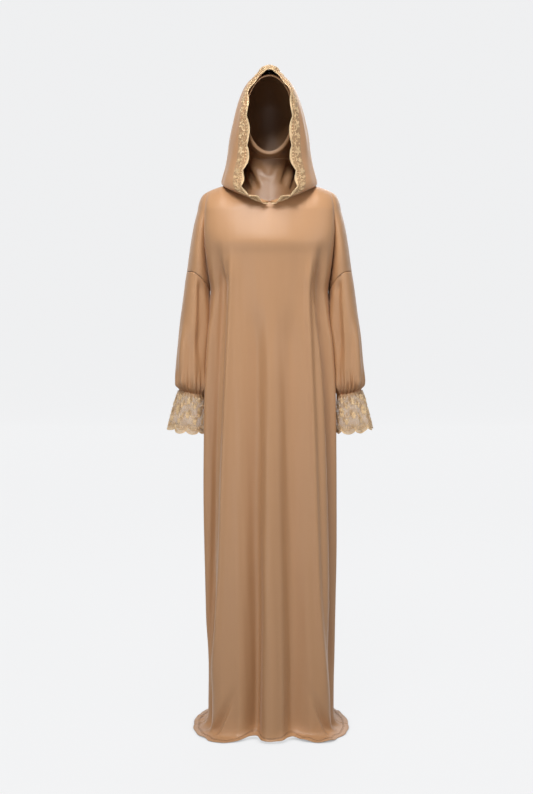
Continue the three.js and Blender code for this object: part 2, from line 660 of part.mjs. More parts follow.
function sleeve(name, side) {
  const ringOf = (columns) => (ring) => ringSpan(columns).map((round) => sleevePoint(side, round, ring));
  const plain = SLEEVE_PLAIN_RINGS.map(ringOf(SLEEVE_COLUMNS));
  const gathered = SLEEVE_GATHERED_RINGS.map(ringOf(4 * GATHERS));
  const sheet = sheetOf([...plain, ...gathered], true);
  const keepClear = (point) => {
    const top = armholeHeight(point.x) - SLANTED_SEAM;
    return point.setZ(Math.max(Math.min(point.z, top), WRIST_HEIGHT));
  };
  return piece(name, wall(side > 0 ? flipped(sheet) : sheet, CLOTH, 0, keepClear), camel);
}

function cuff(name, side) {
  const rings = CUFF.map(({ ring }) => ringSpan(CUFF_COLUMNS).map((round) => cuffPoint(side, round, ring)));
  const sheet = sheetOf(rings, true);
  const keepClear = (point) => point.setZ(Math.min(point.z, WRIST_HEIGHT - SEAM));
  return piece(name, wall(side > 0 ? flipped(sheet) : sheet, LACE, 0, keepClear), goldLace);
}

function hoodHalf(name, side) {
  const rows = span(HOOD_ROWS).map((share) => {
    const row = share * HOOD_LAST_ROW;
    return Array.from({ length: HOOD_COLUMNS + 3 }, (_, column) => hoodSheetPoint(side, column, row));
  });
  const sheet = sheetOf(rows, false);
  const keepClear = (point) => point.setX(side * Math.max(side * point.x, HALF_SEAM));
  return piece(name, wall(side > 0 ? sheet : flipped(sheet), CLOTH, 0, keepClear), camel);
}

// The lace along the hood's face edge: the hood's own points moved out, and a scalloped overhang.
function hoodLace(name, side) {
  const rows = span(HOOD_ROWS).slice(LACE_FIRST_ROW).map((share) => {
    const row = share * HOOD_LAST_ROW;
    const { edgeTurn, overhang } = hoodTurns(row);
    const edge = hoodPoint(side, row, edgeTurn);
    const next = hoodPoint(side, row, edgeTurn + overhang);
    const scallop = mix(LEAST_OVERHANG, 1, Math.abs(Math.sin(HOOD_SCALLOPS * Math.PI * share)));
    const free = edge.clone().addScaledVector(edge.clone().sub(next), scallop);
    return [free, ...[0, 1, 2].map((column) => hoodSheetPoint(side, column, row))];
  });
  const sheet = sheetOf(rows, false);
  const keepClear = (point) => point.setX(side * Math.max(side * point.x, HALF_SEAM));
  return piece(name, wall(side > 0 ? sheet : flipped(sheet), LACE, SEAM + LACE, keepClear), goldLace);
}

function innerCap() {
  const last = CAP[CAP.length - 1].ring;
  const rings = span(CAP_ROWS)
    .map((share) => ringSpan(CAP_COLUMNS).map((round) => capPoint(round, share * last)));
  return piece("inner_cap", wall(sheetOf(rings, true), CLOTH), innerCamel);
}

function neckCowl() {
  const last = COWL[COWL.length - 1].ring;
  const rings = span(COWL_ROWS)
    .map((share) => ringSpan(COWL_COLUMNS).map((round) => cowlPoint(round, share * last)));
  return piece("neck_cowl", wall(flipped(sheetOf(rings, true)), CLOTH), innerCamel);
}

const abaya = new THREE.Group();
abaya.position.z = -HOLD_HEIGHT;
abaya.add(bodyPanel("front"), bodyPanel("back"), innerCap(), neckCowl());
for (const [hand, side] of [["left", 1], ["right", -1]]) {
  abaya.add(sleeve(`sleeve_${hand}`, side), cuff(`cuff_${hand}`, side));
  abaya.add(hoodHalf(`hood_${hand}`, side), hoodLace(`hood_lace_${hand}`, side));
}

export default abaya;
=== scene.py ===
"""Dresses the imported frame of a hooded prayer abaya: jersey, seams, stitches and corded lace.

The tables give millimetres above the floor, with the front towards -Y and the wearer's left at
+X. Meshes are made in metres, with the origin between the shoulders, as the frame has it.
"""

from __future__ import annotations

import logging
import math
from dataclasses import dataclass, field
from enum import Enum

import bpy
import numpy as np
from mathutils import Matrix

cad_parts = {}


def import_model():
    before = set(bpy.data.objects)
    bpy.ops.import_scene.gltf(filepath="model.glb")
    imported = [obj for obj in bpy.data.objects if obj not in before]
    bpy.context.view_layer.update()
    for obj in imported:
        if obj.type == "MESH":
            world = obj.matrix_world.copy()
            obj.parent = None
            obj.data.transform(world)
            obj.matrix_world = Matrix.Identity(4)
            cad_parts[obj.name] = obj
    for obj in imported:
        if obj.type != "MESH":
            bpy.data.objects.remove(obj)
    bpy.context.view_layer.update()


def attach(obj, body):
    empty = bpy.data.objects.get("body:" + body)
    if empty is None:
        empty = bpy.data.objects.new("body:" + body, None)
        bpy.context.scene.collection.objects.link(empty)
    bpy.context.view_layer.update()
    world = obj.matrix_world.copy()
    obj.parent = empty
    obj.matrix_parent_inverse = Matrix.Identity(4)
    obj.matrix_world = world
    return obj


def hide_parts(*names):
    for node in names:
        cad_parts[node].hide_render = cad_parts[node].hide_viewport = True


Array = np.ndarray
Object = bpy.types.Object
Pair = tuple[float, float]
Place = tuple[float, float, float]
Colour = tuple[float, float, float, float]

log = logging.getLogger("abaya")

HOLD_HEIGHT = 1450.0
MM = 0.001
QUARTER_TURN = math.pi / 2
FULL_TURN = 2 * math.pi
FLAT_MAP = "flat"
ARMHOLE = (1185, 1237)
ARMHOLE_CURVE = 2.8
CREASE_ENDS = 4
RIPPLE_RATES = (0.5, 1.6)
RIPPLE_HEIGHT = 0.7
BEFORE, AFTER = slice(None, -1), slice(1, None)
CORNERS = ((BEFORE, BEFORE), (BEFORE, AFTER), (AFTER, AFTER), (AFTER, BEFORE))


class Side(Enum):
    """One side of the wearer, with the sign of its X."""

    LEFT = 1
    RIGHT = -1

    @property
    def word(self) -> str:
        """The side's name, as the frame's nodes have it."""
        return self.name.lower()


class Face(Enum):
    """The front or the back of the gown, with the sign of its Y."""

    FRONT = -1
    BACK = 1

    @property
    def word(self) -> str:
        """The panel's name, as the frame's nodes have it."""
        return self.name.lower()


class Table:
    """Rows of named columns, read as smooth curves that never overshoot their rows."""

    def __init__(self, columns: str, *rows: tuple[float, ...]) -> None:
        """Takes the columns' names in one string and the rows, sorted by the first column."""
        self.names = columns.split()
        self.rows = np.array(rows, float)

    def read(self, name: str, place: Array | float) -> Array:
        """Reads one column at places of the first one.

        Args:
            name: The column.
            place: Where to read it.

        Returns:
            The column's value at each place.
        """
        at = self.rows[:, 0]
        value = self.rows[:, self.names.index(name)]
        step = np.diff(value) / np.diff(at)
        slope = np.concatenate([step[:1], np.zeros(len(at) - 2), step[-1:]])
        same = step[:-1] * step[1:] > 0
        total = np.where(same, step[:-1] + step[1:], 1)
        slope[1:-1] = np.where(same, 2 * step[:-1] * step[1:] / total, 0)
        p = np.clip(place, at[0], at[-1])
        i = np.clip(np.searchsorted(at, p, side="right") - 1, 0, len(at) - 2)
        gap = at[i + 1] - at[i]
        t = (p - at[i]) / gap
        low = value[i] * (1 + 2 * t) + slope[i] * gap * t
        high = value[i + 1] * (3 - 2 * t) - slope[i + 1] * gap * (1 - t)
        return low * (1 - t) ** 2 + high * t**2

    def at(self, place: Array | float) -> dict[str, Array]:
        """Every column but the first, read at the places."""
        return {name: self.read(name, place) for name in self.names[1:]}

    def each(self) -> list[dict[str, float]]:
        """The rows as dictionaries."""
        return [dict(zip(self.names, row)) for row in self.rows.tolist()]


def mix(a: Array | float, b: Array | float, share: Array | float) -> Array | float:
    """The value between a and b."""
    return a + (b - a) * share


def ease(value: Array | float) -> Array:
    """A smooth step from 0 to 1."""
    t = np.clip(value, 0, 1)
    return t * t * (3 - 2 * t)


def rising(value: Array | float, start: float, span: float) -> Array:
    """A smooth step up from 0 at the start to 1 after the span."""
    return ease((value - start) / span)


def falling(value: Array | float, end: float, span: float) -> Array:
    """A smooth step down from 1 before the span to 0 at the end."""
    return ease((end - value) / span)


def bump(distance: Array) -> Array:
    """A smooth hump that is 1 at the middle and 0 from one unit away."""
    return np.where(np.abs(distance) < 1, (1 - distance**2) ** 2, 0)


def soften(distance: Array, bend: float) -> Array:
    """Zero well below the bend, and the plain distance well above it."""
    return bend * np.logaddexp(0, distance / bend)


def unit(vectors: Array) -> Array:
    """The vectors at a length of one."""
    return vectors / np.maximum(np.linalg.norm(vectors, axis=-1, keepdims=True), 1e-12)


def xyz(x: Array, y: Array, z: Array) -> Array:
    """Points from their three coordinates."""
    return np.stack(np.broadcast_arrays(x, y, z), axis=-1).astype(float)


def level_way(x: Array, y: Array) -> Array:
    """Level directions from their two parts, at a length of one."""
    return unit(np.stack(np.broadcast_arrays(x, y), axis=-1))


def ripple(u: Array, v: Array, long: Pair, seed: int, waves: int = 7) -> Array:
    """Soft uneven waves, as cloth has where nothing pulls it.

    Args:
        u: Places across the cloth.
        v: Places along the cloth.
        long: The usual wave across and along.
        seed: The seed of the waves' lengths and starts.
        waves: How many waves are added up.

    Returns:
        Heights of about one at most.
    """
    draw = np.random.default_rng(seed)
    total = np.zeros(np.broadcast(u, v).shape)
    for _ in range(waves):
        rate_u, rate_v = draw.uniform(*RIPPLE_RATES, 2) * FULL_TURN / np.array(long)
        total += np.sin(u * rate_u + v * rate_v * draw.choice([-1, 1]) + draw.uniform(0, FULL_TURN))
    return total / math.sqrt(waves) * RIPPLE_HEIGHT


@dataclass
class Sheet:
    """A sheet of cloth: its points, its quads, and each corner's place on the flat cloth."""

    points: Array
    quads: Array
    flat: Array

    @classmethod
    def of_grid(cls, grid: Array, closed: bool = False, flip: bool = False, start: Pair = (0, 0)) -> Sheet:
        """Makes a sheet from rows of points.

        Args:
            grid: Points in millimetres, shaped rows by columns by three.
            closed: Whether the last column joins the first.
            flip: Whether the faces are turned round.
            start: The flat place of the first row's middle column.

        Returns:
            The sheet.
        """
        rows, columns = grid.shape[:2]
        ring = np.concatenate([grid, grid[:, :1]], axis=1) if closed else grid
        across = np.linalg.norm(np.diff(ring, axis=1), axis=2)
        u = np.concatenate([np.zeros((rows, 1)), np.cumsum(across, axis=1)], axis=1)
        u -= u[:, u.shape[1] // 2, None]
        down = np.linalg.norm(np.diff(ring, axis=0), axis=2)
        v = np.concatenate([np.zeros((1, ring.shape[1])), np.cumsum(down, axis=0)])
        places = np.stack([u + start[0], v + start[1]], axis=-1)
        index = np.arange(rows * columns).reshape(rows, columns)
        index = np.concatenate([index, index[:, :1]], axis=1) if closed else index
        corners = CORNERS[::-1] if flip else CORNERS
        quads = np.stack([index[c].ravel() for c in corners], axis=1)
        flat = np.stack([places[c].reshape(-1, 2) for c in corners], axis=1)
        return cls(grid.reshape(-1, 3), quads, flat * MM)

    @classmethod
    def joined(cls, sheets: list[Sheet]) -> Sheet:
        """Joins sheets, and welds the points that they share."""
        counts = np.cumsum([0] + [len(s.points) for s in sheets[:-1]])
        points = np.concatenate([s.points for s in sheets])
        quads = np.concatenate([s.quads + n for s, n in zip(sheets, counts)])
        flat = np.concatenate([s.flat for s in sheets])
        keys = np.round(points, 3)
        _, first, back = np.unique(keys, axis=0, return_index=True, return_inverse=True)
        return cls(points[first], back.ravel()[quads], flat)

    def normals(self) -> Array:
        """The outward direction at each point."""
        corner = self.points[self.quads]
        cross = np.cross(corner[:, 2] - corner[:, 0], corner[:, 3] - corner[:, 1])
        total = np.zeros_like(self.points)
        for i in range(4):
            np.add.at(total, self.quads[:, i], cross)
        return unit(total)

    @staticmethod
    def sides(corners: Array) -> Array:
        """What the quads' corners hold, for the two ends of each of their sides."""
        return np.concatenate([corners[:, [i, (i + 1) % 4]] for i in range(4)])

    def moved(self, push: Array) -> Sheet:
        """The sheet with each point pushed out by a distance."""
        return Sheet(self.points + self.normals() * push[:, None], self.quads, self.flat)

    def relaxed(self, where: Array, times: int) -> Sheet:
        """The sheet with some of its points drawn towards their neighbours.

        Args:
            where: How far each point may be drawn, from 0 to 1.
            times: How often.

        Returns:
            The smoother sheet.
        """
        ends = self.sides(self.quads)
        points = self.points
        for _ in range(times):
            total = np.zeros_like(points)
            count = np.zeros(len(points))
            for a, b in ((0, 1), (1, 0)):
                np.add.at(total, ends[:, a], points[ends[:, b]])
                np.add.at(count, ends[:, a], 1)
            points = mix(points, total / count[:, None], where[:, None] / 2)
        return Sheet(points, self.quads, self.flat)

    def shell(self, name: str, thickness: float) -> Object:
        """Makes a mesh of the sheet, closed by a wall of even thickness where it has one.

        Args:
            name: The piece's name.
            thickness: The wall's thickness in millimetres, or 0 for a single layer.

        Returns:
            The object.
        """
        if thickness == 0:
            return mesh_object(name, self.points, self.quads, self.flat)
        count = len(self.points)
        inner = self.points - self.normals() * thickness
        edges, places = self.sides(self.quads), self.sides(self.flat)
        keys = edges[:, 0] * count + edges[:, 1]
        free = ~np.isin(edges[:, 1] * count + edges[:, 0], keys)
        rim = np.column_stack([edges[free][:, ::-1], edges[free] + count])
        rim_flat = np.concatenate([places[free][:, ::-1], places[free]], axis=1)
        quads = np.concatenate([self.quads, self.quads[:, ::-1] + count, rim])
        flat = np.concatenate([self.flat, self.flat[:, ::-1], rim_flat])
        return mesh_object(name, np.concatenate([self.points, inner]), quads, flat)


def to_metres(points: Array) -> Array:
    """Points in the frame's metres, from millimetres above the floor."""
    return (points - (0, 0, HOLD_HEIGHT)) * MM


def linked(name: str, data: bpy.types.ID) -> Object:
    """An object that holds the data, linked to the scene."""
    made = bpy.data.objects.new(name, data)
    bpy.context.scene.collection.objects.link(made)
    return made


def mesh_object(name: str, points: Array, faces: Array, flat: Array | None) -> Object:
    """Makes a smooth mesh object from points in millimetres above the floor.

    Args:
        name: The piece's name.
        points: The points.
        faces: The corners of its faces, all with the same number of corners.
        flat: Each corner's place on the flat cloth, or None.

    Returns:
        The object, linked to the scene.
    """
    mesh = bpy.data.meshes.new(name)
    size = faces.shape[1]
    mesh.vertices.add(len(points))
    mesh.vertices.foreach_set("co", to_metres(points).astype(np.float32).ravel())
    mesh.loops.add(faces.size)
    mesh.loops.foreach_set("vertex_index", faces.astype(np.int32).ravel())
    mesh.polygons.add(len(faces))
    mesh.polygons.foreach_set("loop_start", np.arange(0, faces.size, size, dtype=np.int32))
    if flat is not None:
        layer = mesh.uv_layers.new(name=FLAT_MAP)
        layer.data.foreach_set("uv", flat.astype(np.float32).ravel())
    mesh.update(calc_edges=True)
    mesh.validate()
    mesh.shade_smooth()
    return linked(name, mesh)


BODY = Table(
    "height half front back shift",
    (0, 170, 136, 152, 5),
    (97, 170, 137, 150, 5),
    (347, 174, 136, 144, 4),
    (676, 177.5, 131, 134, 2.5),
    (888, 175.5, 126, 126, 2),
    (1028, 169.5, 122, 121, 1.2),
    (1110, 163, 121.5, 119, 0.3),
    (1150, 161, 122, 118.5, 0.1),
    (1185, 158, 123, 118, 0),
    (1239, 164, 125.5, 118, 0),
    (1282, 168.5, 129.5, 117, 0),
    (1302, 170, 133.8, 115.6, 0),
    (1313, 170.6, 135, 115, 0),
    (1324, 171, 133.2, 114, 0),
    (1346, 172, 127, 112, 0),
    (1400, 170, 109, 98, 0),
)
ARM = Table(
    "rise outer frontCrease frontArm backCrease backArm",
    (0, 221, 2, 58, 2, 60),
    (0.25, 215.5, 24, 50, 30, 48),
    (0.5, 209.5, 42, 38, 52, 34),
    (0.75, 202, 52, 26, 60, 24),
    (1, 191.5, 52, 14, 56, 14),
)
SHOULDER = Table(
    "out height",
    (88, 1474),
    (108, 1469),
    (135, 1461),
    (158, 1452),
    (168, 1446),
)
SPREAD = Table(
    "out front back",
    (0, 15, 74),
    (0.08, 13, 73),
    (0.165, 4, 72),
    (0.22, 5, 71),
    (0.27, 13, 70),
    (0.34, 32, 68),
    (0.42, 50, 65),
    (0.52, 54, 60),
    (0.64, 46, 54),
    (0.8, 46, 48),
    (1, 40, 40),
)
NECKLINE = {"edgeX": 0, "edgeY": -103, "edgeZ": 1416, "sideX": 88, "sideY": 0, "sideZ": 1474,
            "backY": 72, "backZ": 1482, "sag": 12}

# Long folds of the front and back. At and end run from -1 at the wearer's right side seam to 1
# at the left one. Push is outwards, and lean makes one flank of a fold steeper.
FRONT_FOLDS = Table(
    "from at end wide spread push last lean",
    (1330, -0.42, -0.62, 0.17, 0.2, 8, 17, -0.2),
    (1330, -0.6, -0.83, 0.12, 0.13, -13, -28, 0.3),
    (1170, -0.79, -0.94, 0.12, 0.09, 8, 9, 0),
    (1190, -0.17, -0.2, 0.15, 0.15, -6, -23, 0),
    (1150, -0.1, -0.145, 0.12, 0.11, -6, -20, 0.55),
    (1130, -0.02, -0.045, 0.1, 0.1, 4, 11, -0.35),
    (1080, 0.04, 0.04, 0.13, 0.13, 4, 10, 0),
    (1170, 0.19, 0.25, 0.15, 0.17, -9, -31, -0.15),
    (1330, 0.43, 0.62, 0.17, 0.22, 8, 17, 0.2),
    (1330, 0.6, 0.84, 0.12, 0.13, -13, -28, -0.3),
    (1170, 0.79, 0.94, 0.12, 0.09, 8, 9, 0),
    (170, -0.33, -0.6, 0.05, 0.08, 0, -17, 0.4),
    (170, 0.35, 0.62, 0.05, 0.08, 0, -17, -0.4),
)
BACK_FOLDS = Table(
    "from at end wide spread push last lean",
    (1340, -0.66, -0.78, 0.14, 0.16, -10, -22, 0.1),
    (1300, -0.46, -0.52, 0.16, 0.18, 7, 16, 0),
    (1240, -0.24, -0.26, 0.14, 0.15, -7, -26, 0.1),
    (1180, -0.03, 0, 0.14, 0.16, 4, 14, 0),
    (1230, 0.21, 0.27, 0.14, 0.16, -7, -28, -0.1),
    (1310, 0.45, 0.54, 0.16, 0.18, 7, 15, 0),
    (1340, 0.65, 0.8, 0.14, 0.15, -10, -21, -0.1),
)
SLEEVE = Table(
    "ring inner outer innerHeight outerHeight centre front back gather",
    (0, 158.9, 221, 1184.9, 1236.9, 0, 58, 60, 0),
    (1, 158.8, 229.5, 1150, 1182, 0, 60, 60, 0),
    (2, 162, 239, 1098, 1114, 0, 60, 60, 0),
    (3, 168.2, 246, 1050, 1056, -2, 58, 60, 0),
    (4, 172.5, 251.5, 992, 995, -4, 56, 58, 0.2),
    (5, 174.5, 254, 944, 950, -6, 52, 54, 2.4),
    (6, 176.5, 252, 922, 934, -7, 44, 45, 5.5),
    (7, 180, 243, 908, 922, -8, 29, 29, 3.6),
    (8, 180, 246, 899, 912, -8, 32, 32, 2.4),
)
SLEEVE_FOLDS = Table(
    "from to at end wide push",
    (0, 4.2, 0.2, 0.135, 0.07, -9),
    (0.2, 7.2, 0.075, 0.075, 0.07, 8),
    (1.6, 6.5, 0.36, 0.34, 0.06, 5),
    (2.4, 6.6, 0.27, 0.24, 0.06, -6),
    (0, 4.4, 0.8, 0.94, 0.085, -9),
    (1.4, 6.4, 0.66, 0.68, 0.07, 5),
)
CUFF = Table(
    "ring inner outer height centre front back flute",
    (0, 179.5, 247.5, 914, -8, 33.5, 33.5, 1.4),
    (1, 179.2, 256, 886, -9, 38, 38, 2.4),
    (2, 178.2, 262, 860, -10, 42, 43, 3.6),
    (3, 177.7, 268, 836, -11, 46, 46, 4.8),
    (4, 177.7, 273, 816, -12, 48, 48, 5.6),
)
HOOD = Table(
    "row edgeX edgeY edgeZ sideX sideY sideZ backY backZ sag",
    (0, 1, -103.4, 1417, 88, 0, 1475.2, 72, 1482.8, 11.6),
    (1, 14, -117, 1417, 109, 0, 1480, 92, 1482, 14),
    (2, 38, -129, 1434, 121, -2, 1468, 110, 1467, 8),
    (3, 60, -131, 1440, 127.5, -2, 1475, 123, 1471, 6),
    (4, 73, -125, 1457, 123.5, 0, 1493, 130, 1490, 2),
    (5, 72, -115, 1484, 118, 4, 1514, 130, 1514, 0),
    (6, 61, -111, 1524, 112, 6, 1546, 132, 1554, 0),
    (7, 58, -108, 1578, 106, 6, 1590, 134, 1600, 0),
    (8, 59, -104, 1634, 95, 4, 1640, 132, 1650, 0),
    (9, 57, -98, 1684, 80, 0, 1690, 120, 1704, 0),
    (10, 43, -93, 1719, 61, -8, 1730, 90, 1746, 0),
    (11, 20, -91, 1746, 33, -32, 1756, 36, 1764, 0),
    (11.6, 14, -93.6, 1761.5, 19, -60, 1766, -22, 1769, 0),
    (12, 4, -95, 1767, 7, -78, 1769, -62, 1770, 0),
)
LACE_EDGE = Table(
    "row overhang droop",
    (0, 10, 0),
    (8.4, 10, 0),
    (9.8, 3, 0),
    (10.9, 3, 1),
    (11.5, 9, 8),
    (12, 12, 11),
)
CAP = Table(
    "ring topY topZ chinY chinZ half",
    (0, -95, 1740, -93, 1547, 59),
    (1, -76, 1747, -94, 1540, 66),
    (2, -40, 1752, -88, 1536, 73),
    (3, 12, 1750, -82, 1534.4, 77),
    (4, 62, 1725, -77, 1533.6, 78),
    (5, 94, 1676, -73, 1533, 77),
    (6, 98, 1618, -70, 1532.6, 74),
    (7, 84, 1566, -68, 1532.3, 68),
    (8, 68, 1536, -67, 1532, 62),
)
COWL = Table(
    "ring edgeX edgeY edgeZ sideX sideY sideZ backY backZ sag",
    (0, 0, -67, 1531, 62, 0.5, 1533.2, 68, 1535, 0),
    (1, 0, -66, 1510, 60.5, 0, 1516, 66, 1520, 0),
    (2, 0, -70, 1487, 63, 0, 1502, 65, 1508, 2),
    (3, 0, -79, 1463, 70, 0, 1492, 66, 1498, 6),
    (4, 0, -91, 1439, 79, 0, 1483, 68, 1489, 10),
    (5, 0, -100.4, 1416.4, 84.8, 0, 1473.9, 69.5, 1481.5, 11.6),
)
# Where the sharp pleats run down the front from the bust, at heights above the floor.
RIGHT_PLEAT = Table(
    "height x",
    (30, -161), (376, -134), (693, -122), (903, -113), (1162, -102), (1300, -98),
)
LEFT_PLEAT = Table(
    "height x",
    (30, 162), (376, 131), (693, 119), (903, 111), (1058, 105), (1162, 100), (1300, 110),
)
# Creases of the cowl, as seen from the front, each from one end to the other.
COWL_CREASES = Table(
    "fromX fromZ toX toZ wide push",
    (-66, 1526, -28, 1446, 10, -6),
    (-57, 1528, -12, 1452, 11, 2.5),
    (-74, 1502, -50, 1444, 9, -4),
    (-36, 1526, -2, 1474, 13, -1.8),
    (26, 1528, -4, 1470, 12, -1.5),
    (33, 1458, 55, 1530, 11, -6),
    (46, 1448, 64, 1520, 10, 2.5),
    (56, 1444, 74, 1502, 9, -4),
)


def loop_point(loop: dict[str, Array], turn: Array) -> Array:
    """Points of half a loop of the neckline, the hood or the cowl.

    Args:
        loop: The loop's sizes at its front edge, its side and its back.
        turn: The turn of each point, from the front edge round to pi at the back.

    Returns:
        The points.
    """
    a = np.arcsin(np.clip(np.asarray(loop["edgeX"]) / loop["sideX"], 0, 1))
    b, c = QUARTER_TURN, math.pi
    front = (loop["sideY"] - loop["edgeY"]) / np.cos(a)
    reach = np.where(turn < b, front, loop["backY"] - loop["sideY"])
    level = (
        loop["edgeZ"] * (turn - b) * (turn - c) / ((a - b) * (a - c))
        + loop["sideZ"] * (turn - a) * (turn - c) / ((b - a) * (b - c))
        + loop["backZ"] * (turn - a) * (turn - b) / ((c - a) * (c - b))
    )
    z = level - loop["sag"] * np.maximum(np.sin(2 * turn), 0)
    return xyz(loop["sideX"] * np.sin(turn), loop["sideY"] - reach * np.cos(turn), z)


def armhole(share: Array) -> Array:
    """The height of the armhole seam, from beside the body, 0, to the outside of the arm, 1."""
    return mix(*ARMHOLE, 1 - (1 - share) ** ARMHOLE_CURVE)


def crease_push(points: Array, creases: Table) -> Array:
    """How far creases that are seen from the front push each point in or out.

    Args:
        points: The points.
        creases: Each crease's two ends, width and push.

    Returns:
        The push at each point.
    """
    push = np.zeros(points.shape[:-1])
    seen = points[..., [0, 2]]
    for c in creases.each():
        start = np.array([c["fromX"], c["fromZ"]])
        way = np.array([c["toX"], c["toZ"]]) - start
        share = ((seen - start) @ way) / (way @ way)
        off = seen - start - np.clip(share, 0, 1)[..., None] * way
        near = bump(np.linalg.norm(off, axis=-1) / c["wide"])
        ends = ease(CREASE_ENDS * share) * ease(CREASE_ENDS * (1 - share))
        push += np.where(points[..., 1] < 0, near * c["push"] * ends, 0)
    return push


@dataclass(frozen=True)
class Pleat:
    """A pinched pleat that runs down the front, with a hollow on its outer flank."""

    path: Table
    out: float
    hollow: float
    wide: float = 14
    high: float = 7
    curve: float = 1.6
    tip: float = 0.012
    flank: Pair = (1.25, 1.1)
    top: Pair = (1305, 110)
    foot: Pair = (40, 200)
    seam_calm: float = 50

    def push(self, points: Array) -> Array:
        """How far the pleat pushes each point of the front out."""
        x, y, z = points.T
        off = (x - self.path.read("x", z)) * self.out / self.wide
        crest = np.maximum(1 - np.sqrt(off**2 + self.tip), 0) ** self.curve * self.high
        middle, wide = self.flank
        flank = bump((off - middle) / wide) * self.hollow
        ends = falling(z, *self.top) * rising(z, *self.foot)
        return np.where(y < 0, (crest - flank) * ends * ease(-y / self.seam_calm), 0)


@dataclass
class Gown:
    """The front and back of the gown, each in one piece with its part over the upper arms."""

    thickness: float = 1.2
    seam: float = 0.04
    hem_lift: float = 1.8
    hem_bend: float = 14
    lying_fade: float = 0.85
    lying_reach: float = 26
    lying_crease: float = 3
    lying_waves: Pair = (130, 95)
    lying_seed: int = 61
    lying_count: int = 5
    underarm: float = 1185
    underarm_gap: float = 2
    underarm_ease: float = 45
    shelf: float = 1400
    shelf_share: float = 0.6
    fold_start: float = 120
    seam_calm: float = 8
    section_power: float = 0.82
    arm_roundness: float = 0.6
    crease_top: float = 158
    arm_top: float = 168
    close_from: float = 20
    close_to: Pair = (52, 90)
    close_at: float = 125
    columns: int = 150
    hem_share: float = 0.09
    hem_rows: int = 34
    skirt_rows: int = 146
    arm_columns: int = 26
    arm_start: Pair = (0.4, 1.2)
    chest_rows: int = 60
    relax_high: float = 45
    relax_side: Pair = (145, 25)
    throat_half: float = 40
    throat_foot: Pair = (1325, 30)
    throat_top: Pair = (1405, 14)
    relax_times: int = 30
    ripples: tuple[tuple[Pair, int, float], ...] = (((70, 900), 11, 1), ((26, 420), 21, 0.5))
    ripple_high: float = 0.9
    ripple_foot: Pair = (20, 160)
    ripple_chest: Pair = (1180, 90)
    ripple_top: Pair = (1470, 60)
    chest_calm: float = 0.15
    stitch_lines: Pair = (14.0, 17.5)
    stitch_lift: float = 0.25
    stitch_end: float = 0.995
    stitch_points: int = 500
    stitch_step: float = 2
    pleats: tuple[Pleat, ...] = (Pleat(RIGHT_PLEAT, -1, hollow=9), Pleat(LEFT_PLEAT, 1, hollow=6))
    folds: dict[Face, Table] = field(
        default_factory=lambda: {Face.FRONT: FRONT_FOLDS, Face.BACK: BACK_FOLDS})

    def fold_push(self, panel: Face, across: Array, height: Array) -> Array:
        """How far the long folds push a panel out.

        Args:
            panel: The front or the back.
            across: The place across the panel, from -1 to 1.
            height: The height above the floor.

        Returns:
            The push at each place.
        """
        push = 0.0
        for fold in self.folds[panel].each():
            top = fold["from"]
            down = np.clip((top - height) / top, 0, 1)
            off = (across - mix(fold["at"], fold["end"], down)) / mix(fold["wide"], fold["spread"], down)
            off = off / (1 - fold["lean"] * down * np.sign(off))
            size = mix(fold["push"], fold["last"], down)
            push = push + bump(off) * size * ease((top - height) / self.fold_start)
        return push * (1 - across**self.seam_calm)

    def skirt(self, panel: Face, across: Array, distance: Array) -> Array:
        """Points of the skirt.

        Args:
            panel: The front or the back.
            across: The place across the panel, from -1 to 1.
            distance: The way up the cloth from the hem, from 0 to 1.

        Returns:
            The points.
        """
        way = panel.value
        turn = across * QUARTER_TURN
        spread = SPREAD.read(panel.word, np.abs(across))
        length = self.underarm - self.hem_lift + spread
        reach = distance * length - spread
        height = self.hem_lift + soften(reach, self.hem_bend)
        out = soften(-reach, self.hem_bend)
        section = BODY.at(height)
        rise = ease(1 - (self.underarm - height) / self.underarm_ease)
        gap = mix(self.seam, self.underarm_gap, rise)
        depth = section[panel.word]
        fade = 1 - self.lying_fade * np.clip(out / self.lying_reach, 0, 1)
        normal = level_way(np.sin(turn) / section["half"], way * np.cos(turn) / depth)
        push = out + fade * self.fold_push(panel, across, height)
        cosine = np.maximum(np.cos(turn), 0) ** self.section_power
        level = gap + (depth - gap) * cosine
        y = way * np.maximum(level + way * normal[..., 1] * push, gap)
        x = section["shift"] + section["half"] * np.sin(turn) + normal[..., 0] * push
        waves = ripple(x, y, self.lying_waves, self.lying_seed + way, self.lying_count)
        crease = waves**2 * self.lying_crease * (1 - across**self.seam_calm)
        return xyz(x, y, height + crease * ease(out / self.lying_reach))

    def top(self, panel: Face, out: Array) -> Array:
        """Where a panel ends at the top: the neckline, then the shoulder seam."""
        way = panel.value
        side = np.abs(out) / NECKLINE["sideX"]
        inner = np.arcsin(np.clip(side, 0, 1))
        turn = inner if panel is Face.FRONT else math.pi - inner
        point = loop_point(NECKLINE, turn)
        y = np.where(side >= 1, self.seam, np.maximum(way * point[..., 1], self.seam))
        z = np.where(side >= 1, SHOULDER.read("height", np.abs(out)), point[..., 2])
        return xyz(out, way * y, z)

    def over(self, start: Array, end: Array, share: Array) -> Array:
        """Points that round a panel over the shoulder, from the shelf to its top edge."""
        near = np.clip(1 - (end[..., 0] / self.close_at) ** 2, 0, 1)
        a = math.radians(self.close_from)
        b = np.radians(mix(self.close_to[1], self.close_to[0], np.sqrt(near) * ease(3 * near)))
        angle = mix(a, b, share)
        left = (np.cos(angle) - np.cos(b)) / (math.cos(a) - np.cos(b))
        risen = (np.sin(angle) - math.sin(a)) / (np.sin(b) - math.sin(a))
        flat = mix(end[..., :2], start[..., :2], left[..., None])
        return xyz(flat[..., 0], flat[..., 1], mix(start[..., 2], end[..., 2], risen))

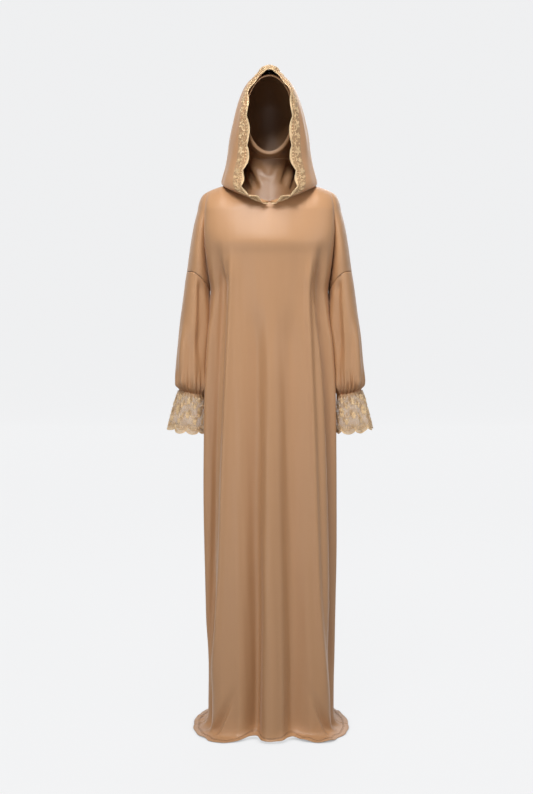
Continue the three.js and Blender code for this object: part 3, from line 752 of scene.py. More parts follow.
    def closed(self, low: Array, end: Array, along: Array) -> Array:
        """The low points of a panel up to the shelf, and the way over the shoulder above it."""
        share = np.clip((along - self.shelf_share) / (1 - self.shelf_share), 0, 1)
        return np.where((along <= self.shelf_share)[..., None], low, self.over(low, end, share))

    def chest(self, panel: Face, across: Array, along: Array) -> Array:
        """Points of the chest, from the underarm, 0, to the shoulder or neckline, 1."""
        way = panel.value
        turn = across * QUARTER_TURN
        rise = np.clip(along / self.shelf_share, 0, 1)
        height = mix(self.underarm, self.shelf, rise)
        section = BODY.at(height)
        depth, crease = section[panel.word], ARM.read(f"{panel.word}Crease", rise)
        normal = level_way(np.sin(turn) / section["half"], way * np.cos(turn) / depth)
        push = self.fold_push(panel, across, height)
        cosine = np.maximum(np.cos(turn), 0) ** self.section_power
        y = way * (crease + (depth - crease) * cosine) + normal[..., 1] * push
        low = xyz(section["half"] * np.sin(turn) + normal[..., 0] * push, y, height)
        return self.closed(low, self.top(panel, self.crease_top * np.sin(turn)), along)

    def upper_arm(self, panel: Face, side: Side, out: Array, along: Array) -> Array:
        """Points over the upper arm, from the crease, 0, to the outer seam, 1."""
        way = panel.value
        rise = np.clip(along / self.shelf_share, 0, 1)
        section = ARM.at(rise)
        share = mix(out, (1 - np.cos(out * math.pi)) / 2, self.arm_roundness)
        half = BODY.read("half", mix(self.underarm, self.shelf, rise))
        x = side.value * mix(half, section["outer"], share)
        line = mix(section[f"{panel.word}Crease"], self.seam, out)
        y = way * (line + section[f"{panel.word}Arm"] * np.sin(out * math.pi))
        low = xyz(x, y, mix(armhole(share), self.shelf, rise))
        end = self.top(panel, side.value * mix(self.crease_top, self.arm_top, share))
        return self.closed(low, end, along)

    def rows(self) -> Array:
        """Places up the skirt, closer together near the hem."""
        near = np.linspace(0, self.hem_share, self.hem_rows)
        return np.concatenate([near, np.linspace(self.hem_share, 1, self.skirt_rows)[1:]])

    def sheet(self, panel: Face) -> Sheet:
        """The whole panel as one sheet, with its soft ripples."""
        across = np.linspace(-1, 1, self.columns + 1)[None]
        skirt = self.skirt(panel, across, self.rows()[:-1, None])
        up = np.linspace(0, 1, self.chest_rows + 1)[:, None]
        chest = self.chest(panel, across, up)
        flip = panel is Face.BACK
        sheets = [Sheet.of_grid(np.concatenate([skirt, chest]), flip=flip)]
        out = np.linspace(0, 1, self.arm_columns + 1)[None]
        for side in Side:
            grid = self.upper_arm(panel, side, out, up)
            turned = flip if side is Side.LEFT else not flip
            start = (side.value * self.arm_start[0], self.arm_start[1])
            sheets.append(Sheet.of_grid(grid, flip=turned, start=start))
        whole = Sheet.joined(sheets)
        x, _, z = whole.points.T
        underarm = bump((z - self.underarm) / self.relax_high) * falling(np.abs(x), *self.relax_side)
        throat = bump(x / self.throat_half) * rising(z, *self.throat_foot) * falling(z, *self.throat_top)
        whole = whole.relaxed(np.maximum(underarm, throat), self.relax_times)
        x, _, z = whole.points.T
        chest_calm = mix(1, self.chest_calm, rising(z, *self.ripple_chest))
        calm = rising(z, *self.ripple_foot) * chest_calm * falling(z, *self.ripple_top)
        soft = sum(size * ripple(x, z, long, seed + panel.value) for long, seed, size in self.ripples)
        push = self.ripple_high * calm * soft
        for pleat in self.pleats if panel is Face.FRONT else ():
            push = push + pleat.push(whole.points)
        return whole.moved(push)

    def build(self, panel: Face) -> Object:
        """Makes one panel's piece."""
        return self.sheet(panel).shell(f"{panel.word}_cloth", self.thickness)

    def hem_lines(self, panel: Face) -> list[Array]:
        """The lines of stitches along a panel's hem."""
        across = np.linspace(-self.stitch_end, self.stitch_end, self.stitch_points)
        length = self.underarm - self.hem_lift + SPREAD.read(panel.word, np.abs(across))
        lines = []
        for distance in self.stitch_lines:
            line = self.skirt(panel, across, distance / length)
            ahead = self.skirt(panel, across, (distance + self.stitch_step) / length)
            normal = unit(np.cross(np.gradient(line, axis=0), ahead - line)) * -panel.value
            lines.append(line + normal * self.stitch_lift)
        return lines


def arm_ring(section: dict[str, Array], round_: Array) -> tuple[Array, Array, Array, Array]:
    """A ring round an arm, from beside the body over the front and back.

    Args:
        section: The ring's sizes.
        round_: The place round the ring, from 0 to 1.

    Returns:
        The x and y of each point, its outward direction, and its share of the way out.
    """
    turn = round_ * FULL_TURN
    share = (1 - np.cos(turn)) / 2
    depth = np.where(np.sin(turn) > 0, section["front"], section["back"])
    x = mix(section["inner"], section["outer"], share)
    y = section["centre"] - depth * np.sin(turn)
    wide = section["outer"] - section["inner"]
    return x, y, level_way(-np.cos(turn) / wide, -np.sin(turn) / (2 * depth)), share


@dataclass
class Sleeve:
    """A long sleeve, gathered by elastic at the wrist, with a lace ruffle below it."""

    side: Side
    thickness: float = 1.1
    seam: float = 0.05
    columns: int = 180
    elbow: float = 5
    arm_rows: int = 90
    wrist_rows: int = 61
    last_ring: float = 8
    shift: float = 3
    gathers: int = 21
    sways: tuple[Pair, Pair] = ((0.5, 4), (0.4, 7))
    sway: float = 1.6
    sharp: float = 0.02
    elastic: float = 6.6
    elastic_reach: float = 0.9
    uneven: float = 0.2
    fade_rate: float = 3
    plain: float = 0.6
    armhole_reach: float = 1.4
    frill: float = 3.5
    soft: float = 0.8
    soft_rate: float = 12
    soft_waves: Pair = (4, 3)
    soft_seed: int = 31
    soft_end: Pair = (7, 2)
    cuff_columns: int = 360
    cuff_rows: int = 60
    cuff_rings: int = 4
    flutes: int = 7
    body_side_flute: float = 0.3
    small_flutes: int = 23
    small_start: float = 1.3
    small_high: float = 0.9
    scallops: int = 8
    scallop_depth: float = 11
    outer_lift: float = 12
    wrist_tilt: float = 14

    def folds(self, round_: Array, ring: Array) -> Array:
        """How far the sleeve's folds push each place out."""
        push = 0.0
        for fold in SLEEVE_FOLDS.each():
            begin = fold["from"]
            down = (ring - begin) / (fold["to"] - begin)
            inside = (down >= 0) & (down <= 1)
            fade = ease((1 - down) * self.fade_rate) * (ease(down * self.fade_rate) if begin > 0 else 1)
            off = (round_ - mix(fold["at"], fold["end"], down)) / fold["wide"]
            push = push + np.where(inside, bump(off) * fold["push"] * fade, 0)
        return push

    def gather(self, round_: Array, ring: Array) -> Array:
        """The gathers at the wrist, sharper near the elastic than above it."""
        (first, rate), (second, other_rate) = self.sways
        sway = first * np.sin(FULL_TURN * round_ * rate + self.side.value)
        sway = sway + second * np.sin(FULL_TURN * round_ * other_rate)
        wave = np.cos(self.gathers * FULL_TURN * round_ + sway * self.sway)
        near = np.exp(-(((ring - self.elastic) / self.elastic_reach) ** 2))
        return mix(wave, 1 - 2 * np.sqrt((1 - wave) / 2 + self.sharp), near)

    def points(self, round_: Array, ring: Array) -> Array:
        """Points of the sleeve, from the armhole, ring 0, to its frill, the last ring."""
        section, first = SLEEVE.at(ring), SLEEVE.each()[0]
        side = self.side.value
        x, y, normal, share = arm_ring(section, round_)
        gather = self.gather(round_, ring)
        start = ease(ring / self.plain)
        uneven = 1 - self.uneven * (1 - np.cos(3 * FULL_TURN * round_ + side))
        push = start * self.folds(round_, ring) + section["gather"] * uneven * gather
        soft = ripple(round_ * self.soft_rate, ring, self.soft_waves, self.soft_seed + side)
        push = push + self.soft * start * soft * falling(ring, *self.soft_end)
        x = side * (x + normal[..., 0] * push) + self.shift * ease(ring / self.last_ring)
        z = mix(section["innerHeight"], section["outerHeight"], share)
        seam = armhole(share) - self.seam - mix(first["innerHeight"], first["outerHeight"], share)
        z = z + seam * ease(1 - ring / self.armhole_reach)
        z = z - self.frill * ease(ring - self.elastic) * gather
        return xyz(x, y + normal[..., 1] * push, z)

    def build(self) -> Object:
        """Makes the sleeve's piece."""
        round_ = np.linspace(0, 1, self.columns, endpoint=False)[None]
        wrist = np.linspace(self.elbow, self.last_ring, self.wrist_rows)[1:]
        ring = np.concatenate([np.linspace(0, self.elbow, self.arm_rows), wrist])[:, None]
        sheet = Sheet.of_grid(self.points(round_, ring), closed=True, flip=self.side is Side.LEFT)
        return sheet.shell(f"sleeve_cloth_{self.side.word}", self.thickness)

    def cuff_grid(self, round_: Array, share: Array) -> Array:
        """Points of the lace ruffle, from its seam, 0, to its scalloped edge, 1."""
        ring = share * self.cuff_rings
        section = CUFF.at(ring)
        x, y, normal, out = arm_ring(section, round_)
        wave = np.cos(self.flutes * FULL_TURN * round_ + self.side.value)
        small = np.cos(self.small_flutes * FULL_TURN * round_ + self.small_start)
        small = small * self.small_high * (1 - share)
        push = section["flute"] * mix(self.body_side_flute, 1, out) * wave + small
        arch = np.abs(np.sin(self.scallops * math.pi * round_))
        drop = self.scallop_depth * np.sqrt(arch) * ease(ring - (self.cuff_rings - 1))
        x = self.side.value * (x + normal[..., 0] * push) + self.shift
        lifted = self.outer_lift * out**3 * share + self.wrist_tilt * (out - 0.5) * (1 - share)
        return xyz(x, y + normal[..., 1] * push, section["height"] - drop + lifted)

    def build_cuff(self) -> tuple[Object, Strip]:
        """Makes the ruffle's net, and the strip that its embroidery is drawn on."""
        round_ = np.linspace(0, 1, self.cuff_columns, endpoint=False)[None]
        share = np.linspace(0, 1, self.cuff_rows + 1)[:, None]
        grid = self.cuff_grid(round_, share)
        flip = self.side is Side.LEFT
        net = Sheet.of_grid(grid, closed=True, flip=flip).shell(f"cuff_net_{self.side.word}", 0)
        return net, Strip(grid, closed=True, flip=flip)


@dataclass
class Strip:
    """A band of lace: a grid of points on which embroidery is drawn in flat shares."""

    grid: Array
    closed: bool
    flip: bool

    def __post_init__(self) -> None:
        """Works out the outward direction at each point of the grid."""
        wrap = "wrap" if self.closed else "edge"
        wide = np.pad(self.grid, ((0, 0), (1, 1), (0, 0)), mode=wrap)
        along = wide[:, 2:] - wide[:, :-2]
        down = np.gradient(self.grid, axis=0)
        self.normals = unit(np.cross(along, down)) * (-1 if self.flip else 1)

    def place(self, s: Array, t: Array) -> tuple[Array, Array]:
        """Reads points and directions of the band.

        Args:
            s: Shares along the band, which wrap round on a closed one.
            t: Shares from its seam, 0, to its edge, 1.

        Returns:
            The points and their outward directions.
        """
        rows, columns = self.grid.shape[:2]
        spans = columns if self.closed else columns - 1
        a = (s % 1.0) * spans if self.closed else np.clip(s, 0, 1) * spans
        b = np.clip(t, 0, 1) * (rows - 1)
        i = np.minimum(a.astype(int), spans - 1)
        j = np.minimum(b.astype(int), rows - 2)
        k = (i + 1) % columns
        p, q = (a - i)[..., None], (b - j)[..., None]

        def read(values: Array) -> Array:
            """The values between the four nearest points of the grid."""
            near = values[j, i] * (1 - p) + values[j, k] * p
            far = values[j + 1, i] * (1 - p) + values[j + 1, k] * p
            return near * (1 - q) + far * q

        return read(self.grid), unit(read(self.normals))


@dataclass
class Embroidery:
    """Gold cord and satin petals, drawn flat on a band of lace and then laid on its form."""

    strip: Strip
    length: float
    width: float
    lift: float = 0.25
    sides: int = 5
    step: float = 1.5
    cord_end: float = 0.15
    cord_rise: float = 0.6
    petal_rows: tuple[float, float, int] = (0.02, 0.98, 7)
    petal_across: tuple[float, ...] = (-1.0, -0.6, 0.0, 0.6, 1.0, 0.0)
    petal_rise: tuple[float, ...] = (0.0, 0.7, 1.0, 0.7, 0.0, -0.2)
    petal_lean: float = 0.85
    petal_curve: float = 0.75
    petal_share: float = 0.88
    petal_foot: float = 0.24
    petal_cord: float = 0.38
    petal_loop: tuple[float, float, float] = (0.64, 0.44, 0.56)
    heart_turn: float = FULL_TURN * 1.6
    heart_share: float = 0.2
    heart_cord: float = 0.6
    loop_points: int = 24
    knot_spread: float = 0.618
    knot_turn: float = 2.4
    knot_long: float = 2.6
    knot_wide: float = 2.2
    knot_high: float = 1.8
    stem_points: int = 40
    stem_cord: float = 0.5
    curl_turn: float = 1.5 * math.pi
    curl_points: int = 26
    curl_shrink: float = 0.6
    leaf_places: tuple[float, ...] = (0.22, 0.42, 0.6, 0.78)
    leaf_lean: float = 1.1
    leaf_wide: float = 0.42
    leaf_bend: float = 0.1
    points: list[Array] = field(default_factory=list)
    quads: list[Array] = field(default_factory=list)
    flat: list[Array] = field(default_factory=list)
    count: int = 0

    def keep(self, grid: Array, places: Array, closed: bool) -> None:
        """Adds a tube or patch.

        Args:
            grid: Its points, rows by columns by three, where the columns run round and close.
            places: The flat place of each point, with one more column than the grid.
            closed: Whether the last row joins the first.
        """
        rows, columns = grid.shape[:2]
        index = np.arange(rows * columns).reshape(rows, columns) + self.count
        index = np.concatenate([index, index[:, :1]], axis=1)
        if closed:
            index = np.concatenate([index, index[:1]])
            places = np.concatenate([places, places[-1:] + (self.step, 0)])
        corners = [CORNERS[i] for i in (0, 3, 2, 1)]
        self.points.append(grid.reshape(-1, 3))
        self.quads.append(np.stack([index[c].ravel() for c in corners], axis=1))
        self.flat.append(np.stack([places[c].reshape(-1, 2) for c in corners], axis=1))
        self.count += rows * columns

    def on_strip(self, xy: Array) -> tuple[Array, Array]:
        """Points and outward directions on the band for flat millimetres."""
        return self.strip.place(xy[..., 0] / self.length, xy[..., 1] / self.width)

    def cord(self, xy: Array, radius: float, closed: bool = False) -> None:
        """Lays a cord along a flat line.

        Args:
            xy: The line's points in flat millimetres.
            radius: The cord's radius.
            closed: Whether the line is a loop.
        """
        line = np.concatenate([xy, xy[:1]]) if closed else xy
        run = np.concatenate([[0], np.cumsum(np.linalg.norm(np.diff(line, axis=0), axis=1))])
        at = np.linspace(0, run[-1], max(int(run[-1] / self.step), 3) + 1)
        even = np.stack([np.interp(at, run, line[:, i]) for i in (0, 1)], axis=1)
        if closed:
            even, at = even[:-1], at[:-1]
        base, normal = self.on_strip(even)
        ahead = np.roll(base, -1, axis=0) - np.roll(base, 1, axis=0) if closed else np.gradient(base, axis=0)
        side = unit(np.cross(normal, unit(ahead)))
        turn = np.arange(self.sides) * FULL_TURN / self.sides
        size = np.full(len(even), radius)
        if not closed:
            size[[0, -1]] = radius * self.cord_end
        ring = side[:, None] * np.cos(turn)[:, None] + normal[:, None] * np.sin(turn)[:, None]
        lifted = base[:, None] + normal[:, None] * (self.lift + radius * self.cord_rise)
        around = np.linspace(0, FULL_TURN * radius, self.sides + 1)
        places = np.stack(np.broadcast_arrays(at[:, None], around[None]), axis=-1)
        self.keep(lifted + ring * size[:, None, None], places, closed)

    def petal(self, base: Array, tip: Array, wide: float, bend: float = 0, high: float = 0.9) -> None:
        """Fills a petal or leaf with satin stitch.

        Args:
            base: Where it starts, in flat millimetres.
            tip: Where it ends.
            wide: Its width.
            bend: How far its middle line is pushed to one side.
            high: How high it stands.
        """
        base, tip = np.asarray(base, float), np.asarray(tip, float)
        way = tip - base
        long = float(np.hypot(*way))
        side = np.array([-way[1], way[0]]) / long
        u = np.linspace(*self.petal_rows)
        middle = base + u[:, None] * way + side * (bend * np.sin(math.pi * u))[:, None]
        half = wide / 2 * np.sin(math.pi * u**self.petal_lean) ** self.petal_curve
        around = np.array(self.petal_across)
        place, normal = self.on_strip(middle[:, None] + side * (half[:, None] * around)[..., None])
        tall = high * np.sin(math.pi * u)[:, None] ** 0.5 * np.array(self.petal_rise)
        across = np.append(around, around[0]) * wide / 2
        places = np.stack(np.broadcast_arrays(across[None], (u * long)[:, None]), axis=-1)
        self.keep(place + normal * (self.lift + tall)[..., None], places, False)

    def flower(self, centre: Pair, radius: float, petals: int, turn: float) -> None:
        """Embroiders a flower: satin petals, a cord round each, and a knot in the middle."""
        middle = np.array(centre, float)
        wide = self.petal_share * radius * math.sin(math.pi / petals)
        out, long, broad = self.petal_loop
        u = np.linspace(0, FULL_TURN, self.loop_points)[:-1]
        for i in range(petals):
            angle = turn + FULL_TURN * i / petals
            way = np.array([math.cos(angle), math.sin(angle)])
            side = np.array([-way[1], way[0]])
            self.petal(middle + way * radius * self.petal_foot, middle + way * radius, wide)
            loop = np.cos(u)[:, None] * way * radius * long + np.sin(u)[:, None] * side * wide * broad
            self.cord(middle + way * radius * out + loop, self.petal_cord, closed=True)
        u = np.linspace(0, self.heart_turn, self.loop_points)
        spiral = (u / u[-1] * radius * self.heart_share)[:, None] * np.stack([np.cos(u), np.sin(u)], axis=1)
        self.cord(middle + spiral, self.heart_cord)

    def knots(self, along: Pair, across: Pair, count: int) -> None:
        """Scatters small bright knots over part of the band, always in the same places."""
        for k in range(count):
            s = mix(*along, (k + 0.5) / count)
            t = mix(*across, self.knot_spread * k % 1)
            turn = self.knot_turn * k
            tip = (s + self.knot_long * math.cos(turn), t + self.knot_long * math.sin(turn))
            self.petal((s, t), tip, self.knot_wide, high=self.knot_high)

    def vine(self, points: list[Pair], leaf: float, curl: float) -> None:
        """Embroiders a stem with leaves on both sides, which ends in a curl.

        Args:
            points: The stem's control points in flat millimetres.
            leaf: The leaves' length.
            curl: The radius of the curl at its end.
        """
        control = np.array(points, float)
        u = np.linspace(0, 1, self.stem_points)
        n = len(control) - 1
        weight = [math.comb(n, k) * u**k * (1 - u) ** (n - k) for k in range(n + 1)]
        line = sum(w[:, None] * c for w, c in zip(weight, control))
        way = unit(line[-1] - line[-2])
        side = np.array([-way[1], way[0]]) * np.sign(curl)
        turn = np.linspace(0, self.curl_turn, self.curl_points)
        shrink = 1 - self.curl_shrink * turn / turn[-1]
        spin = side * (1 - shrink * np.cos(turn))[:, None] + way * (shrink * np.sin(turn))[:, None]
        self.cord(np.concatenate([line, line[-1] + abs(curl) * spin[1:]]), self.stem_cord)
        for k, share in enumerate(self.leaf_places):
            i = int(share * (self.stem_points - 1))
            way = unit(line[i + 1] - line[i - 1])
            out = np.array([-way[1], way[0]]) * (1 if k % 2 else -1)
            tip = line[i] + unit(way + self.leaf_lean * out) * leaf
            self.petal(line[i], tip, leaf * self.leaf_wide, self.leaf_bend * leaf)

    def border(self, edge: Border) -> None:
        """Embroiders the scalloped edge: heavy cords, a zigzag, and leaves under arches of cord."""
        x = np.linspace(0, self.length, edge.points * edge.scallops)
        loop = self.strip.closed
        x = x[:-1] if loop else x
        cords = edge.outer_cords + tuple((edge.band + rise, radius) for rise, radius in edge.inner_cords)
        for depth, radius in cords:
            self.cord(np.stack([x, np.full_like(x, self.width - depth)], axis=1), radius, loop)
        u = np.linspace(0, self.length, 2 * edge.teeth + 1)
        zig = np.where(np.arange(len(u)) % 2, edge.tooth_foot, edge.band - edge.zigzag_cord)
        self.cord(np.stack([u, self.width - zig], axis=1), edge.zigzag_cord)
        pitch = self.length / edge.scallops
        level = self.width - edge.band - edge.leaf_foot
        for i in range(edge.scallops):
            for k in edge.leaves:
                foot = ((i + 0.5 + k * edge.leaf_step) * pitch, level)
                long = edge.leaf_long - abs(k) * edge.leaf_less
                tip = ((i + 0.5 + k * edge.tip_step) * pitch, level - long)
                self.petal(foot, tip, edge.leaf_wide)
            across = np.linspace(*edge.arch_span)
            risen = edge.arch_high * np.sin(math.pi * across) ** edge.arch_curve
            arch = self.width - edge.band - edge.arch_foot - risen
            self.cord(np.stack([(i + across) * pitch, arch], axis=1), edge.arch_cord)

    def build(self, name: str) -> Object:
        """Makes the piece from everything drawn so far."""
        flat = np.concatenate(self.flat) * MM
        return mesh_object(name, np.concatenate(self.points), np.concatenate(self.quads), flat)


@dataclass(frozen=True)
class Border:
    """The scalloped edge of a band of lace, in flat millimetres from its edge."""

    scallops: int
    band: float
    points: int = 60
    outer_cords: tuple[Pair, ...] = ((0.6, 1.1), (3.2, 0.6))
    inner_cords: tuple[Pair, ...] = ((0, 0.9), (2.6, 0.7))
    teeth: int = 120
    tooth_foot: float = 1.2
    zigzag_cord: float = 0.4
    leaves: range = range(-3, 4)
    leaf_foot: float = 3.6
    leaf_step: float = 0.115
    tip_step: float = 0.135
    leaf_long: float = 7.5
    leaf_less: float = 1.3
    leaf_wide: float = 2.6
    arch_span: tuple[float, float, int] = (0.04, 0.96, 30)
    arch_foot: float = 4
    arch_high: float = 9.5
    arch_curve: float = 0.8
    arch_cord: float = 0.5


@dataclass(frozen=True)
class Flower:
    """A flower of a motif: its share of the repeat and offset from there, its size and its turn."""

    share: float
    off: float
    up: float
    radius: float
    petals: int
    turn: float


@dataclass(frozen=True)
class Vine:
    """A vine of a motif, with its control points from the repeat's middle outwards."""

    points: tuple[Pair, ...]
    leaf: float
    curl: float


@dataclass(frozen=True)
class Motif:
    """The embroidery of a band of lace, drawn once for each repeat in flat millimetres."""

    length: float
    width: float
    repeats: int
    flowers: tuple[Flower, ...]
    vines: tuple[Vine, ...]
    knot_rows: Pair
    knots: int
    border: Border
    twins: tuple[Flower, ...] = ()
    spin: float = 0

    def build(self, name: str, strip: Strip) -> Object:
        """Embroiders the whole band, with the vines and twins on both sides of each middle.

        Args:
            name: The piece's name.
            strip: The band.

        Returns:
            The cords, petals and knots in one object.
        """
        work = Embroidery(strip, self.length, self.width)
        pitch = self.length / self.repeats
        for i in range(self.repeats):
            x = i * pitch
            for f in self.flowers:
                work.flower((x + f.share * pitch + f.off, f.up), f.radius, f.petals, f.turn + self.spin * i)
            for way in (-1, 1):
                middle = x + pitch / 2
                for v in self.vines:
                    work.vine([(middle + way * off, up) for off, up in v.points], v.leaf, way * v.curl)
                for f in self.twins:
                    work.flower((x + f.share * pitch + way * f.off, f.up), f.radius, f.petals, f.turn)
            work.knots((x, x + pitch), self.knot_rows, self.knots)
        work.border(self.border)
        return work.build(name)


CUFF_MOTIF = Motif(
    length=420, width=95, repeats=4,
    flowers=(Flower(0.5, 0, 44, 14, 12, 0.3), Flower(0, 0, 52, 9.5, 8, 0.9),
             Flower(0, 2, 18, 9, 6, 0.2), Flower(0.5, 2, 13, 8, 6, 0.6)),
    vines=(Vine(((10, 34), (18, 16), (38, 20), (40, 34)), 8, -5),
           Vine(((17, 50), (26, 60), (32, 64), (38, 44)), 7, 4),
           Vine(((6, 28), (10, 14), (18, 6), (26, 8)), 6, 3),
           Vine(((10, 60), (16, 66), (24, 68), (30, 62)), 5, 3)),
    twins=(Flower(0.5, 24, 30, 6, 5, 0.5), Flower(0.5, 21, 69, 7.5, 7, 0.2)),
    knot_rows=(8, 70), knots=30, border=Border(scallops=8, band=7.5),
)
HOOD_MOTIF = Motif(
    length=430, width=39, repeats=9,
    flowers=(Flower(0.5, 0, 12, 8.5, 5, 0.4), Flower(0, 3, 8.5, 5, 5, 0.1)),
    vines=(Vine(((7, 15), (12, 22), (19, 20), (20, 13)), 5.5, -2.6),),
    knot_rows=(3, 29), knots=14, border=Border(scallops=9, band=4.6), spin=1,
)


@dataclass
class Hood:
    """One half of the hood, and the lace along its face edge."""

    side: Side
    thickness: float = 1.2
    seam: float = 0.04
    rows: int = 130
    columns: int = 90
    last_row: float = 12
    ripple_waves: Pair = (60, 320)
    ripple_seed: int = 51
    ripple_high: float = 1.1
    ripple_side: Pair = (1, 25)
    ripple_foot: Pair = (1445, 40)
    lace_columns: int = 300
    laid_rows: int = 17
    free_rows: int = 6
    flat_rows: int = 12
    wave_high: float = 2.2
    wave_start: float = 0.7
    droop_curve: float = 1.4
    lace_width: float = 32
    most_lace: float = 1 / 3
    scallops: int = 9
    least_overhang: float = 0.2
    lace_start: float = 0.8
    lace_lift: float = 1.0
    peak: float = 0.45

    def strip_turns(self, row: Array) -> tuple[Array, Array, Array]:
        """The turn of the face edge on each row, of the lace's width, and of its overhang."""
        at = HOOD.at(row)
        edge = np.arcsin(at["edgeX"] / at["sideX"])
        radius = np.hypot(at["sideX"] * np.cos(edge), (at["sideY"] - at["edgeY"]) * np.tan(edge))
        strip = np.minimum(self.lace_width / radius, (math.pi - edge) * self.most_lace)
        return edge, strip, LACE_EDGE.read("overhang", row) / self.lace_width * strip

    def point(self, row: Array, turn: Array) -> Array:
        """Points of this half of the hood."""
        point = loop_point(HOOD.at(row), turn)
        shut = np.sqrt(ease((self.last_row - row) / self.peak))
        x = self.side.value * np.maximum(point[..., 0] * shut, self.seam)
        return xyz(x, point[..., 1], point[..., 2])

    def build(self) -> Object:
        """Makes the hood half's piece."""
        row = np.linspace(0, self.last_row, self.rows + 1)[:, None]
        edge, _, _ = self.strip_turns(row)
        share = np.linspace(0, 1, self.columns + 1)[None]
        grid = self.point(row, mix(edge, math.pi, share))
        sheet = Sheet.of_grid(grid, flip=self.side is Side.RIGHT)
        x, y, z = sheet.points.T
        calm = rising(np.abs(x), *self.ripple_side) * rising(z, *self.ripple_foot)
        soft = ripple(y, z, self.ripple_waves, self.ripple_seed + self.side.value)
        sheet = sheet.moved(self.ripple_high * calm * soft)
        return sheet.shell(f"hood_cloth_{self.side.word}", self.thickness)

    def build_lace(self) -> tuple[Object, Strip]:
        """Makes the lace's net, and the strip that its embroidery is drawn on."""
        share = np.linspace(self.lace_start / self.last_row, 1, self.lace_columns)[None]
        row = share * self.last_row
        edge, strip, over = self.strip_turns(row)
        down = np.linspace(self.lace_width, 0, self.laid_rows)[:, None] / self.lace_width
        laid = self.point(row, edge + strip * down)
        first, following = self.point(row, edge), self.point(row, edge + over)
        arch = np.abs(np.sin(self.scallops * math.pi * share))
        scallop = mix(self.least_overhang, 1, np.sqrt(arch))
        out = np.linspace(0, 1, self.free_rows + 1)[1:, None, None]
        free = first + (first - following) * scallop[..., None] * out
        free[..., 2] -= LACE_EDGE.read("droop", row) * out[..., 0] ** self.droop_curve
        grid = np.concatenate([laid, free])
        flip = self.side is Side.RIGHT
        normals = Strip(grid, closed=False, flip=flip).normals
        rest = len(grid) - self.flat_rows
        depth = np.concatenate([np.zeros(self.flat_rows), np.linspace(0, 1, rest)])[:, None]
        wave = self.wave_high * depth * np.sin(2 * self.scallops * math.pi * share + self.wave_start)
        grid = grid + normals * (self.lace_lift + wave)[..., None]
        grid[..., 0] = self.side.value * np.maximum(self.side.value * grid[..., 0], self.seam)
        net = Sheet.of_grid(grid, flip=flip).shell(f"hood_net_{self.side.word}", 0)
        return net, Strip(grid, closed=False, flip=flip)


@dataclass
class InnerCover:
    """The close inner cap and the neck cowl below it."""

    thickness: float = 1.2
    columns: int = 144
    cap_rings: int = 8
    cap_rows: int = 70
    cowl_rings: int = 5
    cowl_rows: int = 64

    def build_cap(self) -> Object:
        """Makes the cap, from its front edge to its back."""
        ring = np.linspace(0, self.cap_rings, self.cap_rows + 1)[:, None]
        turn = np.linspace(0, 1, self.columns, endpoint=False)[None] * FULL_TURN
        at = CAP.at(ring)
        share = (1 + np.cos(turn)) / 2
        grid = xyz(at["half"] * np.sin(turn), mix(at["chinY"], at["topY"], share),
                   mix(at["chinZ"], at["topZ"], share))
        return Sheet.of_grid(grid, closed=True).shell("inner_cap_cloth", self.thickness)

    def build_cowl(self) -> Object:
        """Makes the cowl, with the creases that hang from side to side at its front."""
        ring = np.linspace(0, self.cowl_rings, self.cowl_rows + 1)[:, None]
        round_ = np.linspace(0, 1, self.columns, endpoint=False)[None]
        point = loop_point(COWL.at(ring), np.minimum(round_, 1 - round_) * FULL_TURN)
        x = np.where(round_ > 0.5, -point[..., 0], point[..., 0])
        sheet = Sheet.of_grid(xyz(x, point[..., 1], point[..., 2]), closed=True, flip=True)
        push = crease_push(sheet.points, COWL_CREASES)
        return sheet.moved(push).shell("neck_cowl_cloth", self.thickness)


class Graph:
    """A node tree that is filled by short calls."""

    def __init__(self, tree: bpy.types.NodeTree) -> None:
        """Takes an empty tree."""
        self.tree = tree

    def feed(self, node: bpy.types.Node, inputs: dict[str | int, object]) -> None:
        """Sets a node's inputs by name or number, as values or as sockets to join."""
        for key, value in inputs.items():
            if isinstance(value, bpy.types.NodeSocket):
                self.tree.links.new(value, node.inputs[key])
            else:
                node.inputs[key].default_value = value

    def add(self, kind: str, inputs: dict[str | int, object] | None = None,
            **settings: object) -> bpy.types.Node:
        """Adds a node.

        Args:
            kind: The node's type.
            inputs: Its inputs by name or number, as values or as sockets to join.
            settings: Its other settings.

        Returns:
            The node.
        """
        node = self.tree.nodes.new(kind)
        for key, value in settings.items():
            setattr(node, key, value)
        self.feed(node, inputs or {})
        return node

    def first(self, kind: str, inputs: dict[str | int, object] | None = None,
              **settings: object) -> bpy.types.NodeSocket:
        """Adds a node and returns its first output."""
        return self.add(kind, inputs, **settings).outputs[0]

    def math(self, operation: str, *values: object) -> bpy.types.NodeSocket:
        """Adds a Math node and returns its result."""
        return self.first("ShaderNodeMath", dict(enumerate(values)), operation=operation)

    def mixed(self, factor: object, low: Colour, high: Colour) -> bpy.types.NodeSocket:
        """Adds a colour mix and returns its result."""
        node = self.add("ShaderNodeMix", {0: factor, 6: low, 7: high}, data_type="RGBA")
        return node.outputs[2]

    def flat_map(self) -> bpy.types.NodeSocket:
        """Adds the piece's flat map."""
        return self.first("ShaderNodeUVMap", uv_map=FLAT_MAP)

    def noise(self, scale: float, detail: float) -> bpy.types.NodeSocket:
        """Adds soft noise on Object coordinates."""
        place = self.add("ShaderNodeTexCoord").outputs["Object"]
        return self.first("ShaderNodeTexNoise", {"Vector": place, "Scale": scale, "Detail": detail})


